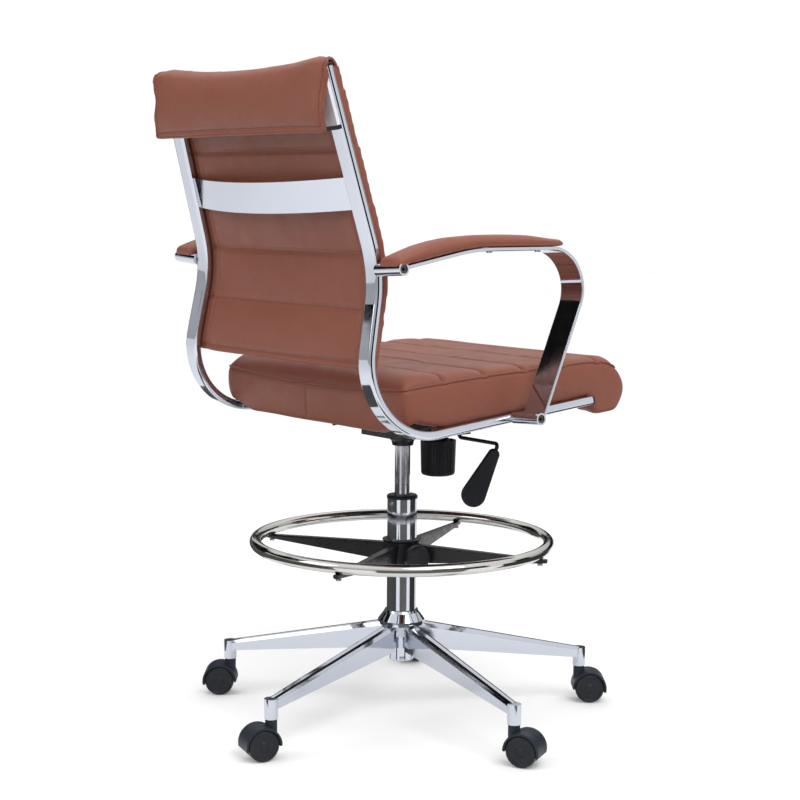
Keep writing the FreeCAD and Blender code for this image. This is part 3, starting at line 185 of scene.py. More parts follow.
def brushed(name, colour, roughness, stretch):
    metal = Shader(name, colour, roughness, 1.0)
    lines = metal.noise(1400.0, 3.0, 0.6, stretch=stretch)
    metal.tint(lines, tuple(value * 0.80 for value in colour), 0.45, 0.7, 0.6)
    metal.tint(metal.noise(9.0, 3.0), tuple(value * 0.88 for value in colour), 0.4, 0.7, 0.6)
    metal.rough(metal.noise(70.0, 3.0), roughness * 0.8, roughness * 1.3)
    metal.raised(lines, 0.00002, 0.35)
    return metal.material


def moulded(name, colour, roughness, grain=520.0, depth=0.00006):
    """Moulded plastic: a fine spark-eroded grain, slightly uneven gloss and dust in the low spots."""
    plastic = Shader(name, colour, roughness)
    plastic.put(Specular_IOR_Level=0.24)
    paler = tuple(min(1.0, value * 1.4 + 0.004) for value in colour)
    plastic.tint(plastic.noise(14.0, 4.0, 0.6), paler, 0.45, 0.8, 0.5)
    plastic.tint(plastic.noise(260.0, 2.0), paler, 0.6, 0.8, 0.3)
    plastic.rough(plastic.noise(45.0, 3.0), roughness * 0.85, min(1.0, roughness * 1.2))
    plastic.raised(plastic.noise(grain, 3.0, 0.7), depth, 0.6)
    return plastic.material


def enamel(name, colour, roughness):
    """Powder coat: orange-peel ripple and a faint edge-to-edge unevenness."""
    paint = Shader(name, colour, roughness)
    paint.put(Specular_IOR_Level=0.30, Coat_Weight=0.05, Coat_Roughness=0.25)
    paint.tint(paint.noise(30.0, 3.0), tuple(value * 1.5 + 0.003 for value in colour), 0.5, 0.8, 0.4)
    paint.rough(paint.noise(80.0, 3.0), roughness * 0.8, roughness * 1.25)
    paint.raised(paint.noise(330.0, 2.0), 0.00006, 0.5)
    return paint.material


def felt(name, colour):
    cloth = Shader(name, colour, 0.9)
    cloth.put(Sheen_Weight=0.4, Sheen_Roughness=0.5)
    fibres = cloth.noise(1600.0, 4.0, 0.8, stretch=(1, 1, 0.25))
    cloth.tint(fibres, tuple(value * 0.82 for value in colour), 0.45, 0.65, 0.7)
    cloth.tint(cloth.noise(60.0, 3.0), tuple(value * 0.93 for value in colour), 0.4, 0.7, 0.6)
    cloth.raised(fibres, 0.00025, 0.8)
    return cloth.material


def plywood(name):
    """Plywood darkened to near-black as painted shade, so that the slivers seen between the cushion and the
    rails read as shadow, with the grain just showing.
    """
    # painted shade: the near-black base colour stands for the shadow between the cushion and the rails
    wood = Shader(name, (0.026, 0.021, 0.018), 0.62)
    grain = wood.noise(34.0, 6.0, 0.6, stretch=(0.06, 1, 1), distortion=1.2)
    wood.tint(grain, (0.015, 0.012, 0.010), 0.42, 0.66, 0.8)
    wood.tint(wood.noise(700.0, 2.0, stretch=(0.03, 1, 1)), (0.045, 0.034, 0.027), 0.6, 0.75, 0.5)
    wood.rough(wood.noise(60.0, 3.0), 0.52, 0.74)
    wood.raised(wood.noise(620.0, 2.0, stretch=(0.03, 1, 1)), 0.00012, 0.6)
    return wood.material


LEATHER = leather("leatherette", (0.262, 0.076, 0.043), (0.118, 0.030, 0.018), (0.285, 0.088, 0.052))
PIPING = leather("piping_leather", (0.235, 0.067, 0.038), (0.10, 0.027, 0.016), (0.26, 0.080, 0.047), 0.6)
THREAD = Shader("thread", (0.15, 0.052, 0.034), 0.6)
THREAD.tint(THREAD.noise(2600.0, 2.0, stretch=(1, 1, 0.4)), (0.24, 0.09, 0.06), 0.4, 0.6, 0.8)
THREAD.raised(THREAD.noise(3000.0, 2.0), 0.0001, 0.8)
CHROME = chrome("polished_chrome")
TUBE_CHROME = chrome("ring_chrome", (0.60, 0.59, 0.57), 0.10)
ROD = chrome("ground_rod", (0.42, 0.43, 0.45), 0.17, 0.00001)
ZINC = brushed("zinc", (0.60, 0.60, 0.62), 0.30, (0.4, 0.4, 0.4))
DARK_ZINC = brushed("dark_zinc", (0.10, 0.10, 0.09), 0.34, (0.4, 0.4, 0.4))
BLACK_STEEL = enamel("black_steel", (0.012, 0.012, 0.014), 0.34)
BLACK_PLASTIC = moulded("black_plastic", (0.014, 0.015, 0.019), 0.40)
CASTER = moulded("caster_plastic", (0.020, 0.026, 0.037), 0.46)
TREAD = moulded("tread", (0.019, 0.021, 0.026), 0.40, 300.0, 0.00005)
SPRING = enamel("spring_steel", (0.030, 0.030, 0.033), 0.35)
FELT = felt("white_felt", (0.88, 0.88, 0.95))
PLYWOOD_IN_PAINTED_SHADE = plywood("plywood")

FINISHES = {
    "polished_chrome": CHROME, "brushed_rod": ROD, "black_steel": BLACK_STEEL,
    "black_plastic": BLACK_PLASTIC, "caster_plastic": CASTER, "tread": TREAD, "leatherette": LEATHER,
    "plywood": PLYWOOD_IN_PAINTED_SHADE, "white_felt": FELT, "spring_steel": SPRING, "zinc": ZINC,
}
OWN_FINISHES = {"foot_ring": TUBE_CHROME, "arm_screws": DARK_ZINC}
for part in frame["record"]["subparts"]:
    shown = frame["nodes"][part["node"]]
    finish = OWN_FINISHES.get(part["node"], FINISHES[part["material_slot"]])
    shown.data.materials.clear()
    shown.data.materials.append(finish)


# ---------------------------------------------------------------- meshes

def add_mesh(name, points, faces, material):
    mesh = bpy.data.meshes.new(name)
    mesh.from_pydata([tuple(map(float, point)) for point in points], [], faces)
    mesh.materials.append(material)
    mesh.validate()
    piece = bpy.data.objects.new(name, mesh)
    bpy.context.collection.objects.link(piece)
    return piece


def ring_faces(rows, count, first=0):
    """Faces between rows of count points each, with both ends closed. The points start at number first."""
    faces = []
    for row in range(rows - 1):
        here = first + row * count
        for index in range(count):
            after = (index + 1) % count
            faces.append((here + index, here + after, here + count + after, here + count + index))
    faces.append(tuple(first + index for index in reversed(range(count))))
    faces.append(tuple(first + (rows - 1) * count + index for index in range(count)))
    return faces


def shell(name, rings, material):
    """A closed surface through rings of equally many points, with both ends closed."""
    points = [point for ring in rings for point in ring]
    return add_mesh(name, points, ring_faces(len(rings), len(rings[0])), material)


def shade_smooth(piece):
    for face in piece.data.polygons:
        face.use_smooth = True


def bake(piece):
    """Keeps the modifiers' result as the piece's own mesh."""
    graph = bpy.context.evaluated_depsgraph_get()
    mesh = bpy.data.meshes.new_from_object(piece.evaluated_get(graph), depsgraph=graph)
    piece.modifiers.clear()
    piece.data = mesh


def places(piece):
    flat = np.empty(len(piece.data.vertices) * 3)
    piece.data.vertices.foreach_get("co", flat)
    return flat.reshape(-1, 3)


def directions(piece):
    flat = np.empty(len(piece.data.vertices) * 3)
    piece.data.vertices.foreach_get("normal", flat)
    return flat.reshape(-1, 3)


def move_to(piece, points):
    piece.data.vertices.foreach_set("co", points.ravel())
    piece.data.update()


def modify(piece, kind, **settings):
    modifier = piece.modifiers.new(kind.lower(), kind)
    for name, value in settings.items():
        setattr(modifier, name, value)
    bake(piece)


def nearest(points, lines):
    """Each point's distance to the nearest sampled point of the lines."""
    samples = [sample for line in lines for sample in line]
    tree = KDTree(len(samples))
    for index, sample in enumerate(samples):
        tree.insert(sample, index)
    tree.balance()
    return np.array([tree.find(point)[2] for point in points])


CLOTH = {
    "quality": 6, "mass": 0.35, "tension_stiffness": 22, "compression_stiffness": 22,
    "shear_stiffness": 9, "bending_stiffness": 1.2, "use_pressure": True,
}
CLOTH_FRAMES = 20


def inflate(piece, voxel, pressure, cap, seams, held, pin=0.005):
    """Remeshes a pad and lets cloth pressure fill it, held at its seams and where held() says.

    No point moves further than cap from where it started.
    """
    modify(piece, "REMESH", mode="VOXEL", voxel_size=voxel, use_smooth_shade=True)
    modify(piece, "SMOOTH", factor=0.5, iterations=3)
    start = places(piece)
    still = held(start) | (nearest(start, seams) < pin)
    group = piece.vertex_groups.new(name="held")
    group.add([int(index) for index in np.nonzero(still)[0]], 1.0, "REPLACE")
    modifier = piece.modifiers.new("cloth", "CLOTH")
    cloth = modifier.settings
    for name, value in CLOTH.items():
        setattr(cloth, name, value)
    cloth.uniform_pressure_force = pressure
    cloth.vertex_group_mass = "held"
    cloth.effector_weights.gravity = 0.0
    modifier.point_cache.frame_start = 1
    modifier.point_cache.frame_end = CLOTH_FRAMES
    for number in range(1, CLOTH_FRAMES + 1):
        bpy.context.scene.frame_set(number)
    bake(piece)
    piece.vertex_groups.clear()
    moved = places(piece) - start
    far = np.linalg.norm(moved, axis=1)
    scale = np.minimum(1.0, cap / np.maximum(far, 1e-9))
    move_to(piece, start + moved * scale[:, None])
    bpy.context.scene.frame_set(1)
    modify(piece, "SMOOTH", factor=0.5, iterations=2)
    modify(piece, "SUBSURF", levels=1, render_levels=1)


def groove(piece, lines, depth, width):
    """Draws the surface in along lines, as sewing does."""
    points = places(piece)
    far = nearest(points, lines)
    sink = depth * np.exp(-(far / width) ** 2)
    move_to(piece, points - directions(piece) * sink[:, None])


def finish_soft(piece, body, node):
    shade_smooth(piece)
    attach(piece, body)
    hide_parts(node)


def settle(piece, line, lift=0.0):
    """Moves a line's points onto a piece's surface."""
    graph = bpy.context.evaluated_depsgraph_get()
    tree = BVHTree.FromObject(piece, graph)
    result = []
    for point in line:
        spot, normal, _, _ = tree.find_nearest(Vector(point))
        result.append(np.array(spot) + np.array(normal) * lift)
    return result


def tube(name, line, radius, material, body, closed=False):
    """A cord-shaped trim, such as piping, along a line."""
    curve = bpy.data.curves.new(name, "CURVE")
    curve.dimensions = "3D"
    curve.bevel_depth = radius
    curve.bevel_resolution = 3
    spline = curve.splines.new("POLY")
    spline.points.add(len(line) - 1)
    for point, place in zip(spline.points, line):
        point.co = (*map(float, place), 1)
    spline.use_cyclic_u = closed
    curve.use_fill_caps = not closed
    curve.materials.append(material)
    piece = bpy.data.objects.new(name, curve)
    bpy.context.collection.objects.link(piece)
    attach(piece, body)


THREAD_SIDES = 5
THREAD_TAPER = (0.55, 1.0, 0.55)
THREAD_TILT = (0.31, 0.52, 0.79)


def stitches(name, lines, body, length=0.0042, gap=0.0016, radius=0.00045):
    """Short threads laid end to end along lines that lie on the leather."""
    points, faces = [], []
    for line in lines:
        line = [np.array(point, float) for point in line]
        steps = [np.linalg.norm(b - a) for a, b in zip(line, line[1:])]
        reach = np.concatenate([[0.0], np.cumsum(steps)])
        spots = np.array(line)
        place = 0.0
        while place + length < reach[-1]:
            middles = []
            for along in (place, place + length * 0.5, place + length):
                middles.append(np.array([np.interp(along, reach, spots[:, axis]) for axis in range(3)]))
            run = middles[2] - middles[0]
            run /= max(np.linalg.norm(run), 1e-9)
            side = np.cross(run, THREAD_TILT)
            side /= np.linalg.norm(side)
            other = np.cross(run, side)
            faces += ring_faces(len(THREAD_TAPER), THREAD_SIDES, len(points))
            for spot, thick in zip(middles, THREAD_TAPER):
                for corner in range(THREAD_SIDES):
                    turn = 2 * math.pi * corner / THREAD_SIDES
                    points.append(spot + (side * math.cos(turn) + other * math.sin(turn)) * radius * thick)
            place += length + gap
    piece = add_mesh(name, points, faces, THREAD.material)
    shade_smooth(piece)
    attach(piece, body)


def smooth_step(value, low, high):
    share = np.clip((value - low) / (high - low), 0.0, 1.0)
    return share * share * (3 - 2 * share)


def seat_space(x, y, z):
    """From the seat's own frame, whose Y runs along the rails' lower run."""
    cos, sin = math.cos(SEAT_SLOPE), math.sin(SEAT_SLOPE)
    return np.array([x, y * cos + z * sin, SEAT_HEIGHT - y * sin + z * cos])


def roll_space(x, y, z):
    """From the frame at the rails' tops, whose Z runs up the back."""
    cos, sin = math.cos(BACK_SLOPE), math.sin(BACK_SLOPE)
    return np.array([x, RAIL_TOP[0] + y * cos + z * sin, RAIL_TOP[1] - y * sin + z * cos])


def side_space(side, x, y, z):
    """From a side frame's upright plane: x is measured from the rail's middle."""
    turn = -side * RAIL_LEAN
    up = z - LEAN_HEIGHT
    return np.array([side * RAIL_OFFSET + x * math.cos(turn) + up * math.sin(turn), y,
                     LEAN_HEIGHT - x * math.sin(turn) + up * math.cos(turn)])


# ---------------------------------------------------------------- seat cushion

SEAT_WIDE = 0.2405
SEAT_REAR = 0.1875
SEAT_FRONT = -0.270
CHANNELS = (0.105, 0.022, -0.061, -0.144, -0.222)
SEAT_INSETS = (0.0, 0.003, 0.007, 0.012, 0.018, 0.03, 0.045, 0.065, 0.09, 0.12, 0.15, 0.18, 0.205, 0.222)
FLOOR_LIP = 0.0035
SEAT_RESTS = 0.018
STITCH_LIFT = 0.0002


def seat_outline(inset, across=46, along=44, bend=9):
    """A rounded rectangle, seen from above, set in from the cushion's edge."""
    wide = SEAT_WIDE - inset
    rear = SEAT_REAR - inset
    front = SEAT_FRONT + inset
    corners = []
    for right, end, start, curve in ((1, rear, 0, 0.010), (-1, rear, 90, 0.010),
                                     (-1, front, 180, 0.016), (1, front, 270, 0.016)):
        curve = max(curve - inset * 0.3, 0.007)
        inward = -1 if end == rear else 1
        centre = np.array([right * (wide - curve), end + inward * curve])
        turns = np.radians(np.linspace(start, start + 90, bend))
        corners.append([centre + curve * np.array([math.cos(turn), math.sin(turn)]) for turn in turns])
    points = []
    for index, corner in enumerate(corners):
        points += corner
        goal = corners[(index + 1) % 4][0]
        count = across if index % 2 == 0 else along
        points += [corner[-1] + (goal - corner[-1]) * step / count for step in range(1, count)]
    return points


def seat_edge(x, y):
    """Height of the piping round the cushion's top, in the seat's frame."""
    stations = (-0.270, -0.258, -0.243, -0.2275, -0.187, -0.073, 0.015, 0.100, 0.190)
    heights = (0.0410, 0.0480, 0.0550, 0.0595, 0.0635, 0.0688, 0.0727, 0.0747, 0.0760)
    height = np.interp(y, stations, heights)
    return height - 0.010 * (1 - (x / SEAT_WIDE) ** 2) * smooth_step(y, 0.13, 0.185)


def seat_crown(y):
    """Height of the cushion's middle at its fullest."""
    stations = (-0.270, -0.262, -0.250, -0.232, -0.200, -0.150, -0.100, 0.0, 0.100, 0.150, 0.188)
    heights = (0.046, 0.056, 0.0635, 0.0670, 0.0700, 0.0730, 0.0765, 0.0825, 0.0880, 0.0955, 0.0950)
    return np.interp(y, stations, heights)


def seat_top(x, y):
    """The crown rolls off quickly at the sides and rear, and slowly at the front."""
    edge = seat_edge(x, y)
    side = min((SEAT_WIDE - abs(x)) / 0.026, 1.0)
    rear = min((SEAT_REAR - y) / 0.036, 1.0)
    front = min((y - SEAT_FRONT) / 0.030, 1.0)
    rise = 1.0
    for share in (side, rear, front):
        rise *= 1 - (1 - max(share, 0.0)) ** 2.6
    height = edge + (seat_crown(y) - edge) * rise
    near = min(abs(y - channel) for channel in CHANNELS)
    return height - 0.0040 * math.exp(-(near / 0.008) ** 2) * min(1.0, max(side, 0.0) * 5)


def seat_floor(x, y):
    """Underside: low along the rear edge, up over the rails' heels, down behind the front roll."""
    lift = 0.0078 - 0.0060 * smooth_step(y, 0.168, 0.174)
    lift += 0.0150 * smooth_step(abs(x), 0.17, 0.235) * smooth_step(y, 0.10, 0.175)
    lift -= 0.0032 * smooth_step(abs(x), 0.212, 0.222) * smooth_step(-y, -0.165, -0.150)
    return lift - 0.034 * smooth_step(-y, 0.199, 0.212)


def seat_cushion():
    rings = []
    for inset in reversed(SEAT_INSETS):
        rings.append([seat_space(x, y, seat_floor(x, y) + FLOOR_LIP * (1 - min(inset / 0.006, 1.0)) ** 2)
                      for x, y in seat_outline(inset)])
    for level in (0.2, 0.4, 0.6, 0.8):
        ring = []
        for x, y in seat_outline(0.0):
            low, high = seat_floor(x, y) + FLOOR_LIP, seat_edge(x, y)
            swell = 0.003 * math.sin(math.pi * level)
            forward = 0.013 * math.sin(math.pi * level) * smooth_step(-y, 0.225, 0.262)
            grow = 1 + swell / SEAT_WIDE
            ring.append(seat_space(x * grow, y * grow - forward, low + (high - low) * level))
        rings.append(ring)
    for inset in SEAT_INSETS:
        rings.append([seat_space(x, y, seat_top(x, y)) for x, y in seat_outline(inset)])
    cushion = shell("seat_cushion_cover", rings, LEATHER)

    border = [seat_space(x, y, seat_edge(x, y)) for x, y in seat_outline(0.0, 120, 110, 14)]
    wide = SEAT_WIDE - 0.001
    seams = [[seat_space(x, channel, seat_top(x, channel)) for x in np.linspace(-wide, wide, 240)]
             for channel in CHANNELS]
    origin = seat_space(0, 0, 0)
    normal = seat_space(0, 0, 1) - origin

    def held(points):
        return (points - origin) @ normal < SEAT_RESTS

    inflate(cushion, 0.0050, 4.0, 0.0065, seams + [border], held)
    settled = [settle(cushion, seam) for seam in seams]
    groove(cushion, settled, 0.0046, 0.0032)
    border = settle(cushion, border)
    groove(cushion, [border], 0.0012, 0.0045)
    # the boxing's closing seam, in the middle of the rear face
    rear = [seat_space(0.012, SEAT_REAR, height) for height in np.linspace(0.014, 0.064, 60)]
    rear = settle(cushion, rear)
    groove(cushion, [rear], 0.0016, 0.0026)
    wrinkle(cushion, 0.0011, 11)
    finish_soft(cushion, "seat", "seat_cushion")
    tube("seat_piping", settle(cushion, border, 0.0008), 0.0019, PIPING, "seat", closed=True)
    threads = [settle(cushion, line, STITCH_LIFT) for line in seams + [rear]]
    stitches("seat_stitches", threads, "seat")


def wrinkle(piece, height, seed):
    """Slow, shallow unevenness of stretched leather, the same on every run."""
    points = places(piece)
    random = np.random.default_rng(seed)
    total = np.zeros(len(points))
    for _ in range(14):
        wave = random.normal(size=3)
        wave *= random.uniform(22, 70) / np.linalg.norm(wave)
        total += np.sin(points @ wave + random.uniform(0, 2 * math.pi)) / 14
    move_to(piece, points + directions(piece) * (total * height)[:, None])


# ---------------------------------------------------------------- back pad

BACK_SEAMS = (1.017, 0.940, 0.863, 0.787, 0.708, 0.627)
BACK_LOW = 0.6165
BACK_HIGH = 1.0585
SEAM_END = 0.022
BACK_HELD = 0.020

# the rails' middle line: two straight runs (depth over height) and two arcs (centre and squared radius)
UPPER_RUN = (85, 297.6)
LOWER_RUN = (49.6, 260.7)
RUNS_MEET = (0.2374, 0.7624)
BACK_ARC = (0.44275, 0.75313, 0.04)
HEEL_ARC = (0.14789, 0.62826, 0.012769)


def back_line(z):
    """Depth of the rails' middle line at a height, and its slope."""
    if z >= 0.80806:
        depth, height = UPPER_RUN
        return RUNS_MEET[0] + (z - RUNS_MEET[1]) * depth / height, depth / height
    if z >= 0.71575:
        depth, middle, square = BACK_ARC
        rise = z - middle
        return depth - math.sqrt(square - rise * rise), rise / math.sqrt(square - rise * rise)
    if z >= 0.6494:
        depth, height = LOWER_RUN
        return RUNS_MEET[0] + (RUNS_MEET[1] - z) * depth / height, -depth / height
    depth, middle, square = HEEL_ARC
    rise = z - middle
    return depth + math.sqrt(square - rise * rise), -rise / math.sqrt(square - rise * rise)


def back_point(x, z, ahead):
    """A point set off to the front of the rails' middle line, level with height z on it."""
    depth, slope = back_line(z)
    length = math.hypot(1, slope)
    return np.array([x, depth - ahead / length, z + ahead * slope / length])


def back_half(z):
    """Half the pad's width at a height."""
    return RAIL_OFFSET - math.tan(RAIL_LEAN) * (z - LEAN_HEIGHT) + 0.0065


def back_puff(z):
    """0 at a sewn seam and 1 midway between two."""
    lines = sorted(BACK_SEAMS + (BACK_LOW - 0.012, 1.094))
    for low, high in zip(lines, lines[1:]):
        if low <= z <= high:
            share = (z - low) / (high - low)
            return (4 * share * (1 - share)) ** 0.6
    return 0.0


def back_faces(x, z):
    """How far the pad's rear and front faces stand in front of the rails' middle line."""
    half = back_half(z)
    inner = smooth_step((half - 0.0215) - abs(x), 0.0, 0.030)
    puff = back_puff(z)
    rear = 0.0078 - inner * (0.0035 * puff - 0.0005)
    middle = smooth_step(half - abs(x), 0.0, 0.05)
    front = 0.0205 + 0.0045 * smooth_step(z, 0.62, 0.80) + middle * (0.0030 * puff - 0.0015)
    return rear, front


def back_row(z, widths, face):
    """Points across the pad at a height, on its rear face (0) or its front face (1)."""
    return [back_point(x, z, back_faces(x, z)[face]) for x in widths]


def back_pad():
    rings = []
    across = np.linspace(-1, 1, 70)
    for z in np.linspace(BACK_LOW, BACK_HIGH, 150):
        half = back_half(z)
        rings.append(back_row(z, across * half, 0) + back_row(z, across[::-1] * half, 1))
    pad = shell("back_pad_cover", rings, LEATHER)
    rear_seams, front_seams, hems = [], [], []
    for z in BACK_SEAMS:
        half = back_half(z)
        widths = np.linspace(SEAM_END - half, half - SEAM_END, 220)
        rear_seams.append(back_row(z, widths, 0))
        front_seams.append(back_row(z, widths, 1))
    for side in (1, -1):
        for inset in (0.0275, 0.0400):
            hems.append([back_point(side * (back_half(z) - inset), z, back_faces(back_half(z) - inset, z)[0])
                         for z in np.linspace(BACK_LOW + 0.004, BACK_HIGH, 200)])

    def held(points):
        half = RAIL_OFFSET - math.tan(RAIL_LEAN) * (points[:, 2] - LEAN_HEIGHT)
        return np.abs(points[:, 0]) > half - BACK_HELD

    inflate(pad, 0.0048, 5.0, 0.0045, rear_seams + front_seams, held, pin=0.0035)
    for lines, depth, width in ((rear_seams, 0.0024, 0.0038), (front_seams, 0.0030, 0.0042),
                                (hems, 0.0012, 0.0022)):
        groove(pad, [settle(pad, line) for line in lines], depth, width)
    wrinkle(pad, 0.0010, 23)
    finish_soft(pad, "seat", "back_pad")
    threads = [settle(pad, line, STITCH_LIFT) for line in rear_seams[1:] + front_seams + hems[0::2]]
    stitches("back_stitches", threads, "seat")


# ---------------------------------------------------------------- head roll

# the roll's middle line in roll_space's Y and Z, from its hem behind the rails over their tops to the front
ROLL_SPINE = ((0.0350, -0.0890), (0.0345, -0.0800), (0.0325, -0.0680), (0.0295, -0.0540),
              (0.0260, -0.0400), (0.0225, -0.0260), (0.0198, -0.0130), (0.0165, -0.0030),
              (0.0110, 0.0050), (0.0020, 0.0088), (-0.0080, 0.0088), (-0.0152, 0.0045),
              (-0.0184, -0.0040), (-0.0200, -0.0160), (-0.0204, -0.0300))
ROLL_HALF = (0.0020, 0.0046, 0.0062, 0.0072, 0.0078, 0.0074, 0.0060, 0.0046, 0.0040, 0.0038, 0.0036, 0.0034,
             0.0032, 0.0028, 0.0018)
ROLL_REAR = 0.0135
HEM = 0.062


def roll_line(share):
    """A point of the roll's middle line, its direction across and the half thickness there."""
    spots = np.array(ROLL_SPINE)
    reach = np.concatenate([[0], np.cumsum(np.linalg.norm(np.diff(spots, axis=0), axis=1))])
    reach /= reach[-1]
    point = np.array([np.interp(share, reach, spots[:, axis]) for axis in (0, 1)])
    before = np.array([np.interp(max(share - 0.03, 0), reach, spots[:, axis]) for axis in (0, 1)])
    after = np.array([np.interp(min(share + 0.03, 1), reach, spots[:, axis]) for axis in (0, 1)])
    run = (after - before) / np.linalg.norm(after - before)
    return point, np.array([run[1], -run[0]]), np.interp(share, reach, ROLL_HALF)


def roll_reach(share):
    """Half the roll's length: it spreads where it turns over the rails."""
    spread = float(smooth_step(share, 0.30, 0.52) - 2.3 * smooth_step(share, 0.62, 0.76))
    return 0.2295 + 0.0075 * spread


def roll_point(x, share, face):
    """face is 1 on the outside, -1 on the side of the rails and 0 on the seam between."""
    point, normal, half = roll_line(share)
    reach = roll_reach(share)
    end = abs(x / reach)
    pinch = max(0.0, 1 - end ** 14) ** 0.5
    thick = half * (0.30 + 0.70 * pinch)
    over = float(smooth_step(share, 0.40, 0.56))
    sag = max(0.0, 1 - (abs(x) / 0.196) ** 2.4)
    low = 1 - float(smooth_step(share, 0.0, 0.15))
    lift = over * (0.0020 - 0.0105 * sag) - 0.003 * end ** 10 * low
    inward = 0.0050 * end ** 8 * float(smooth_step(share, 0.2, 0.4) - smooth_step(share, 0.5, 0.62))
    spot = point + normal * thick * face
    return roll_space(x, spot[0] - inward, spot[1] + lift)


def head_roll():
    shares = np.linspace(0, 1, 70)
    rings = []
    for across in np.linspace(-1, 1, 130):
        ring = [roll_point(across * roll_reach(share), share, 1) for share in shares]
        ring += [roll_point(across * roll_reach(share), share, -1) for share in shares[::-1]]
        rings.append(ring)
    roll = shell("head_roll_cover", rings, LEATHER)
    bottom = [roll_point(x, 0.0, 0) for x in np.linspace(-roll_reach(0), roll_reach(0), 220)]
    ends = [[roll_point(side * roll_reach(share), share, 0) for share in np.linspace(0, 0.97, 150)]
            for side in (-1, 1)]

    def held(points):
        cos, sin = math.cos(BACK_SLOPE), math.sin(BACK_SLOPE)
        back = (points[:, 1] - RAIL_TOP[0]) * cos - (points[:, 2] - RAIL_TOP[1]) * sin
        return back < ROLL_REAR

    inflate(roll, 0.0045, 4.0, 0.006, [bottom] + ends, held, pin=0.006)
    inner = [[roll_point(x, HEM, 1) for x in np.linspace(-0.221, 0.221, 220)]]
    for side in (-1, 1):
        inner.append([roll_point(side * (roll_reach(share) - 0.0085), share, 1)
                      for share in np.linspace(HEM, 0.93, 140)])
    inner = [settle(roll, line) for line in inner]
    groove(roll, inner, 0.0022, 0.0034)
    wrinkle(roll, 0.0018, 37)
    finish_soft(roll, "seat", "head_roll")
    edge = ends[0][::-1] + bottom[1:-1] + ends[1]
    tube("roll_piping", settle(roll, edge, 0.0004), 0.0026, PIPING, "seat")
    stitches("roll_stitches", [settle(roll, line, STITCH_LIFT) for line in inner], "seat")


# ---------------------------------------------------------------- arm pads

PAD_LOW, PAD_HIGH = -0.0760, 0.2560
PAD_HALF = 0.0262
PAD_CENTRE = 0.0151 + 0.0360
PAD_TOP = ((-0.0760, 0.8080), (-0.0600, 0.8088), (-0.0460, 0.8105), (-0.0110, 0.8148), (0.0230, 0.8163),
           (0.0580, 0.8168), (0.1000, 0.8163), (0.1500, 0.8132), (0.1800, 0.8085), (0.2060, 0.8025),
           (0.2350, 0.7930), (0.2560, 0.7850))


def pad_floor(y):
    """Top of the strap under the pad."""
    if y < 0.069:
        return 0.7964
    if y < 0.140:
        return 0.7964 - (y - 0.069) ** 2 / 0.8
    return 0.7901 - 0.181 * (y - 0.140)


def arm_pad(side, name):
    centre = side * PAD_CENTRE
    tops = np.array(PAD_TOP)
    rings = []
    count, under = 26, 13
    for share in np.linspace(0, 1, 90):
        y = PAD_LOW + (PAD_HIGH - PAD_LOW) * share
        end = min(y - PAD_LOW, (PAD_HIGH - y) * 1.3)
        half = PAD_HALF - 0.0050 * (1 - min(end / 0.008, 1.0)) ** 2
        lower = 0.0015 * (1 - min(end / 0.004, 1.0)) ** 2
        floor = pad_floor(y) + 0.0004
        rise = max(np.interp(y, tops[:, 0], tops[:, 1]) - floor - 0.001 - lower, 0.003)
        ring = []
        for index in range(count):
            turn = math.pi * index / (count - 1)
            wide = math.copysign(abs(math.cos(turn)) ** 0.55, math.cos(turn))
            tall = math.sin(turn) ** 0.62
            ring.append(side_space(side, centre + wide * half, y, floor + rise * tall))
        for index in range(1, under):
            ring.append(side_space(side, centre + half * (-1 + 2 * index / under), y, floor))
        rings.append(ring)
    pad = shell(f"arm_pad_{name}_cover", rings, LEATHER)
    welt = []
    for edge in (-1, 1):
        welt.append([side_space(side, centre + edge * PAD_HALF, y, pad_floor(y) + 0.0052)
                     for y in np.linspace(PAD_LOW + 0.010, PAD_HIGH - 0.010, 160)])

    def held(points):
        flat = np.array([pad_floor(y) for y in points[:, 1]])
        return points[:, 2] < flat + 0.0035

    inflate(pad, 0.0036, 4.0, 0.0022, welt, held, pin=0.003)
    welt = [settle(pad, line) for line in welt]
    groove(pad, welt, 0.0012, 0.0022)
    wrinkle(pad, 0.0007, 41 + side)
    finish_soft(pad, "seat", f"arm_pad_{name}")
    stitches(f"arm_{name}_stitches", [settle(pad, line, STITCH_LIFT) for line in welt], "seat")


# ---------------------------------------------------------------- tension spring

COIL_WIRE = 0.0020
COIL_TURNS = 7


def coil_spring():
    """The tension spring as a piece of its own, attached to the lift."""
    low, high = (np.array(corner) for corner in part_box("tension_spring"))
    centre = (low + high) / 2
    radius = (high[0] - low[0]) / 2 - COIL_WIRE
    up = np.array([0.0, 0.0, 1.0])
    rings = []
    for share in np.linspace(0, 1, 36 * COIL_TURNS + 1):
        turn = 2 * math.pi * COIL_TURNS * share
        outward = np.array([math.cos(turn), math.sin(turn), 0.0])
        middle = outward * radius + centre
        middle[2] = low[2] + COIL_WIRE + (high[2] - low[2] - 2 * COIL_WIRE) * share
        rings.append([middle + COIL_WIRE * (outward * math.cos(angle) - up * math.sin(angle))
                      for angle in np.linspace(0, 2 * math.pi, 11)[:-1]])
    spring = shell("tension_coil", rings, SPRING)
    shade_smooth(spring)
    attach(spring, "lift")
    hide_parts("tension_spring")
    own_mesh(spring)


seat_cushion()
back_pad()
head_roll()
coil_spring()
arm_pad(1, "left")
arm_pad(-1, "right")


# ---------------------------------------------------------------- studio

def area_light(name, size, place, aim, power):
    lamp = bpy.data.lights.new(name, "AREA")
    lamp.shape = "RECTANGLE"
    lamp.size, lamp.size_y = size
    lamp.energy = power
    holder = bpy.data.objects.new(name, lamp)
    bpy.context.collection.objects.link(holder)
    holder.location = place
    holder.rotation_euler = (Vector(aim) - Vector(place)).to_track_quat("-Z", "Y").to_euler()


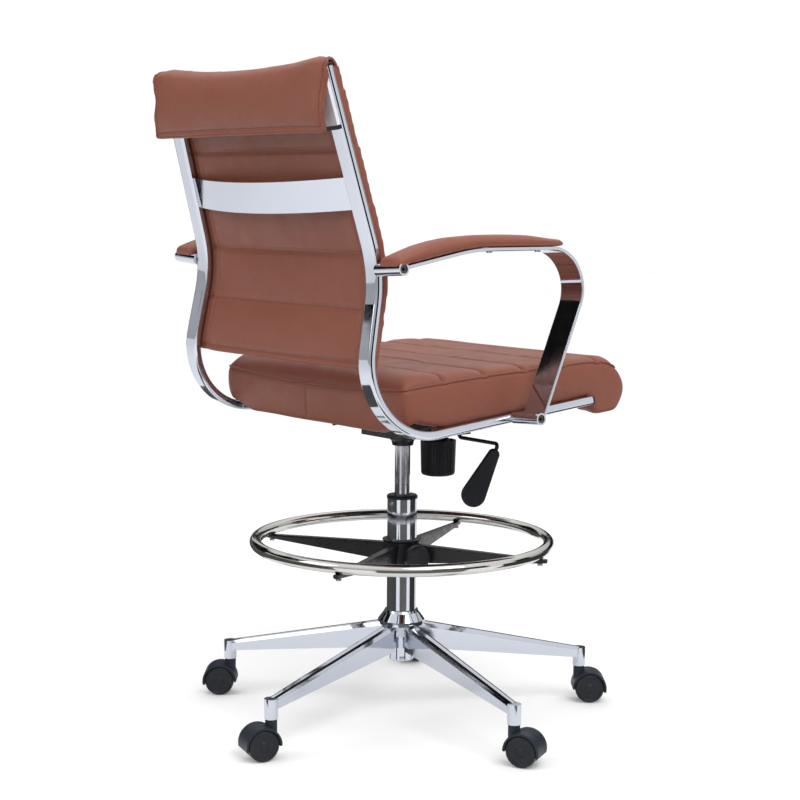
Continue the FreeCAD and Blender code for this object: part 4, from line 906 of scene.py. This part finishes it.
def hidden_card(card, to_camera=False, to_gloss=True):
    """Studio equipment: seen by the camera or by reflections alone, and casting no shadow."""
    card.visible_camera = to_camera
    card.visible_glossy = to_gloss
    card.visible_diffuse = False
    card.visible_transmission = False
    card.visible_shadow = False


def level_card(name, half, height, material):
    """A square that lies level."""
    points = [(-half, -half, height), (half, -half, height), (half, half, height), (-half, half, height)]
    card = add_mesh(name, points, [(0, 1, 2, 3)], material)
    return card


def curved_card(name, first, last, low, high, distance, material):
    """An upright card bent round the object between two compass angles."""
    count = 25
    turns = np.radians(np.linspace(first, last, count))
    points = [(distance * math.cos(turn), distance * math.sin(turn), height)
              for height in (low, high) for turn in turns]
    faces = [(index, index + 1, index + 1 + count, index + count) for index in range(count - 1)]
    card = add_mesh(name, points, faces, material)
    return card


floor_paint = Shader("studio_floor", (0.94, 0.94, 0.94), 0.9)
floor_paint.put(Specular_IOR_Level=0.05, Emission_Strength=0.10)
floor_paint.shader.inputs["Emission Color"].default_value = (1, 1, 1, 1)
floor_paint.tint(floor_paint.noise(0.8), (0.92, 0.92, 0.92))
floor = level_card("studio_floor", 30, -0.0005, floor_paint.material)
floor.visible_diffuse = False
floor.visible_shadow = False

# the chair's underside is lit by a duller floor than the white one on view
bounce_paint = Shader("floor_bounce", (0.42, 0.42, 0.43), 1.0)
bounce = level_card("floor_bounce", 9, -0.02, bounce_paint.material)
hidden_card(bounce, to_gloss=False)
bounce.visible_diffuse = True

white = bpy.data.materials.new("studio_backdrop")
white.use_nodes = True
for name, value in (("Base Color", (0, 0, 0, 1)), ("Emission Color", (1, 1, 1, 1)),
                    ("Emission Strength", 1.0)):
    white.node_tree.nodes["Principled BSDF"].inputs[name].default_value = value
backdrop = curved_card("studio_backdrop", 0, 360, -0.5, 30, 28, white)
hidden_card(backdrop, to_camera=True, to_gloss=False)

# cards that only reflections see: name, first and last angle, low and high edge, distance, grey
FLAGS = (
    ("flag_far_side", 268, 338, 0.10, 1.30, 4.5, 0.010),
    ("flag_left_side", -14, 22, 0.20, 2.60, 4.2, 0.010),
    ("flag_left_high", 22, 60, 1.35, 4.10, 4.2, 0.010),
    ("flag_right_side", 163, 206, 0.05, 2.10, 4.4, 0.010),
    ("flag_right_rear", 232, 250, 0.05, 2.10, 4.4, 0.010),
    ("card_low_left", -40, 22, 0.0, 0.36, 0.62, 0.16),
    ("card_low_rails", 22, 48, 0.0, 0.33, 0.62, 0.16),
    ("card_low_near", 48, 100, 0.0, 0.36, 0.62, 0.16),
    ("card_low_middle", 126, 180, 0.0, 0.36, 0.62, 0.32),
    ("card_low_right", 205, 262, 0.0, 0.36, 0.62, 0.09),
)
for name, first, last, low, high, distance, grey in FLAGS:
    paint = Shader(name, (grey, grey, grey * 0.93), 1.0)
    paint.put(Specular_IOR_Level=0.0)
    hidden_card(curved_card(name, first, last, low, high, distance, paint.material))
hidden_card(curved_card("card_bright_right", 207, 231, 0.05, 2.60, 4.4, white))

world = bpy.data.worlds.new("studio")
bpy.context.scene.world = world
world.use_nodes = True
sky = world.node_tree.nodes
height = sky.new("ShaderNodeSeparateXYZ")
world.node_tree.links.new(sky.new("ShaderNodeTexCoord").outputs["Generated"], height.inputs["Vector"])
fade = sky.new("ShaderNodeMapRange")
fade.interpolation_type = "SMOOTHSTEP"
for name, value in (("From Min", 0.0), ("From Max", 0.85), ("To Min", 0.52), ("To Max", 1.10)):
    fade.inputs[name].default_value = value
world.node_tree.links.new(height.outputs["Z"], fade.inputs["Value"])
world.node_tree.links.new(fade.outputs["Result"], sky["Background"].inputs["Strength"])
sky["Background"].inputs["Color"].default_value = (1.0, 1.0, 1.0, 1)

area_light("key", (2.4, 1.6), (-2.6, 0.4, 3.2), (0, 0, 0.6), 52)
area_light("fill", (1.6, 1.6), (1.0, 3.0, 2.2), (0, 0.1, 0.7), 18)

# ---------------------------------------------------------------- camera

EYE = Vector((-2.2959, 1.8576, 0.8781))
AIM = Vector((0.0, 0.0, 0.5365))
ROLL = math.radians(0.455)
lens = bpy.data.cameras.new("camera")
lens.sensor_width = 36.0
lens.lens = 79.97
lens.shift_x = -0.00379
lens.clip_end = 100
camera = bpy.data.objects.new("camera", lens)
bpy.context.collection.objects.link(camera)
camera.location = EYE
look = (AIM - EYE).to_track_quat("-Z", "Y")
look.rotate(Quaternion((AIM - EYE).normalized(), -ROLL))
camera.rotation_euler = look.to_euler()
bpy.context.scene.camera = camera
bpy.context.scene.view_settings.view_transform = "Standard"
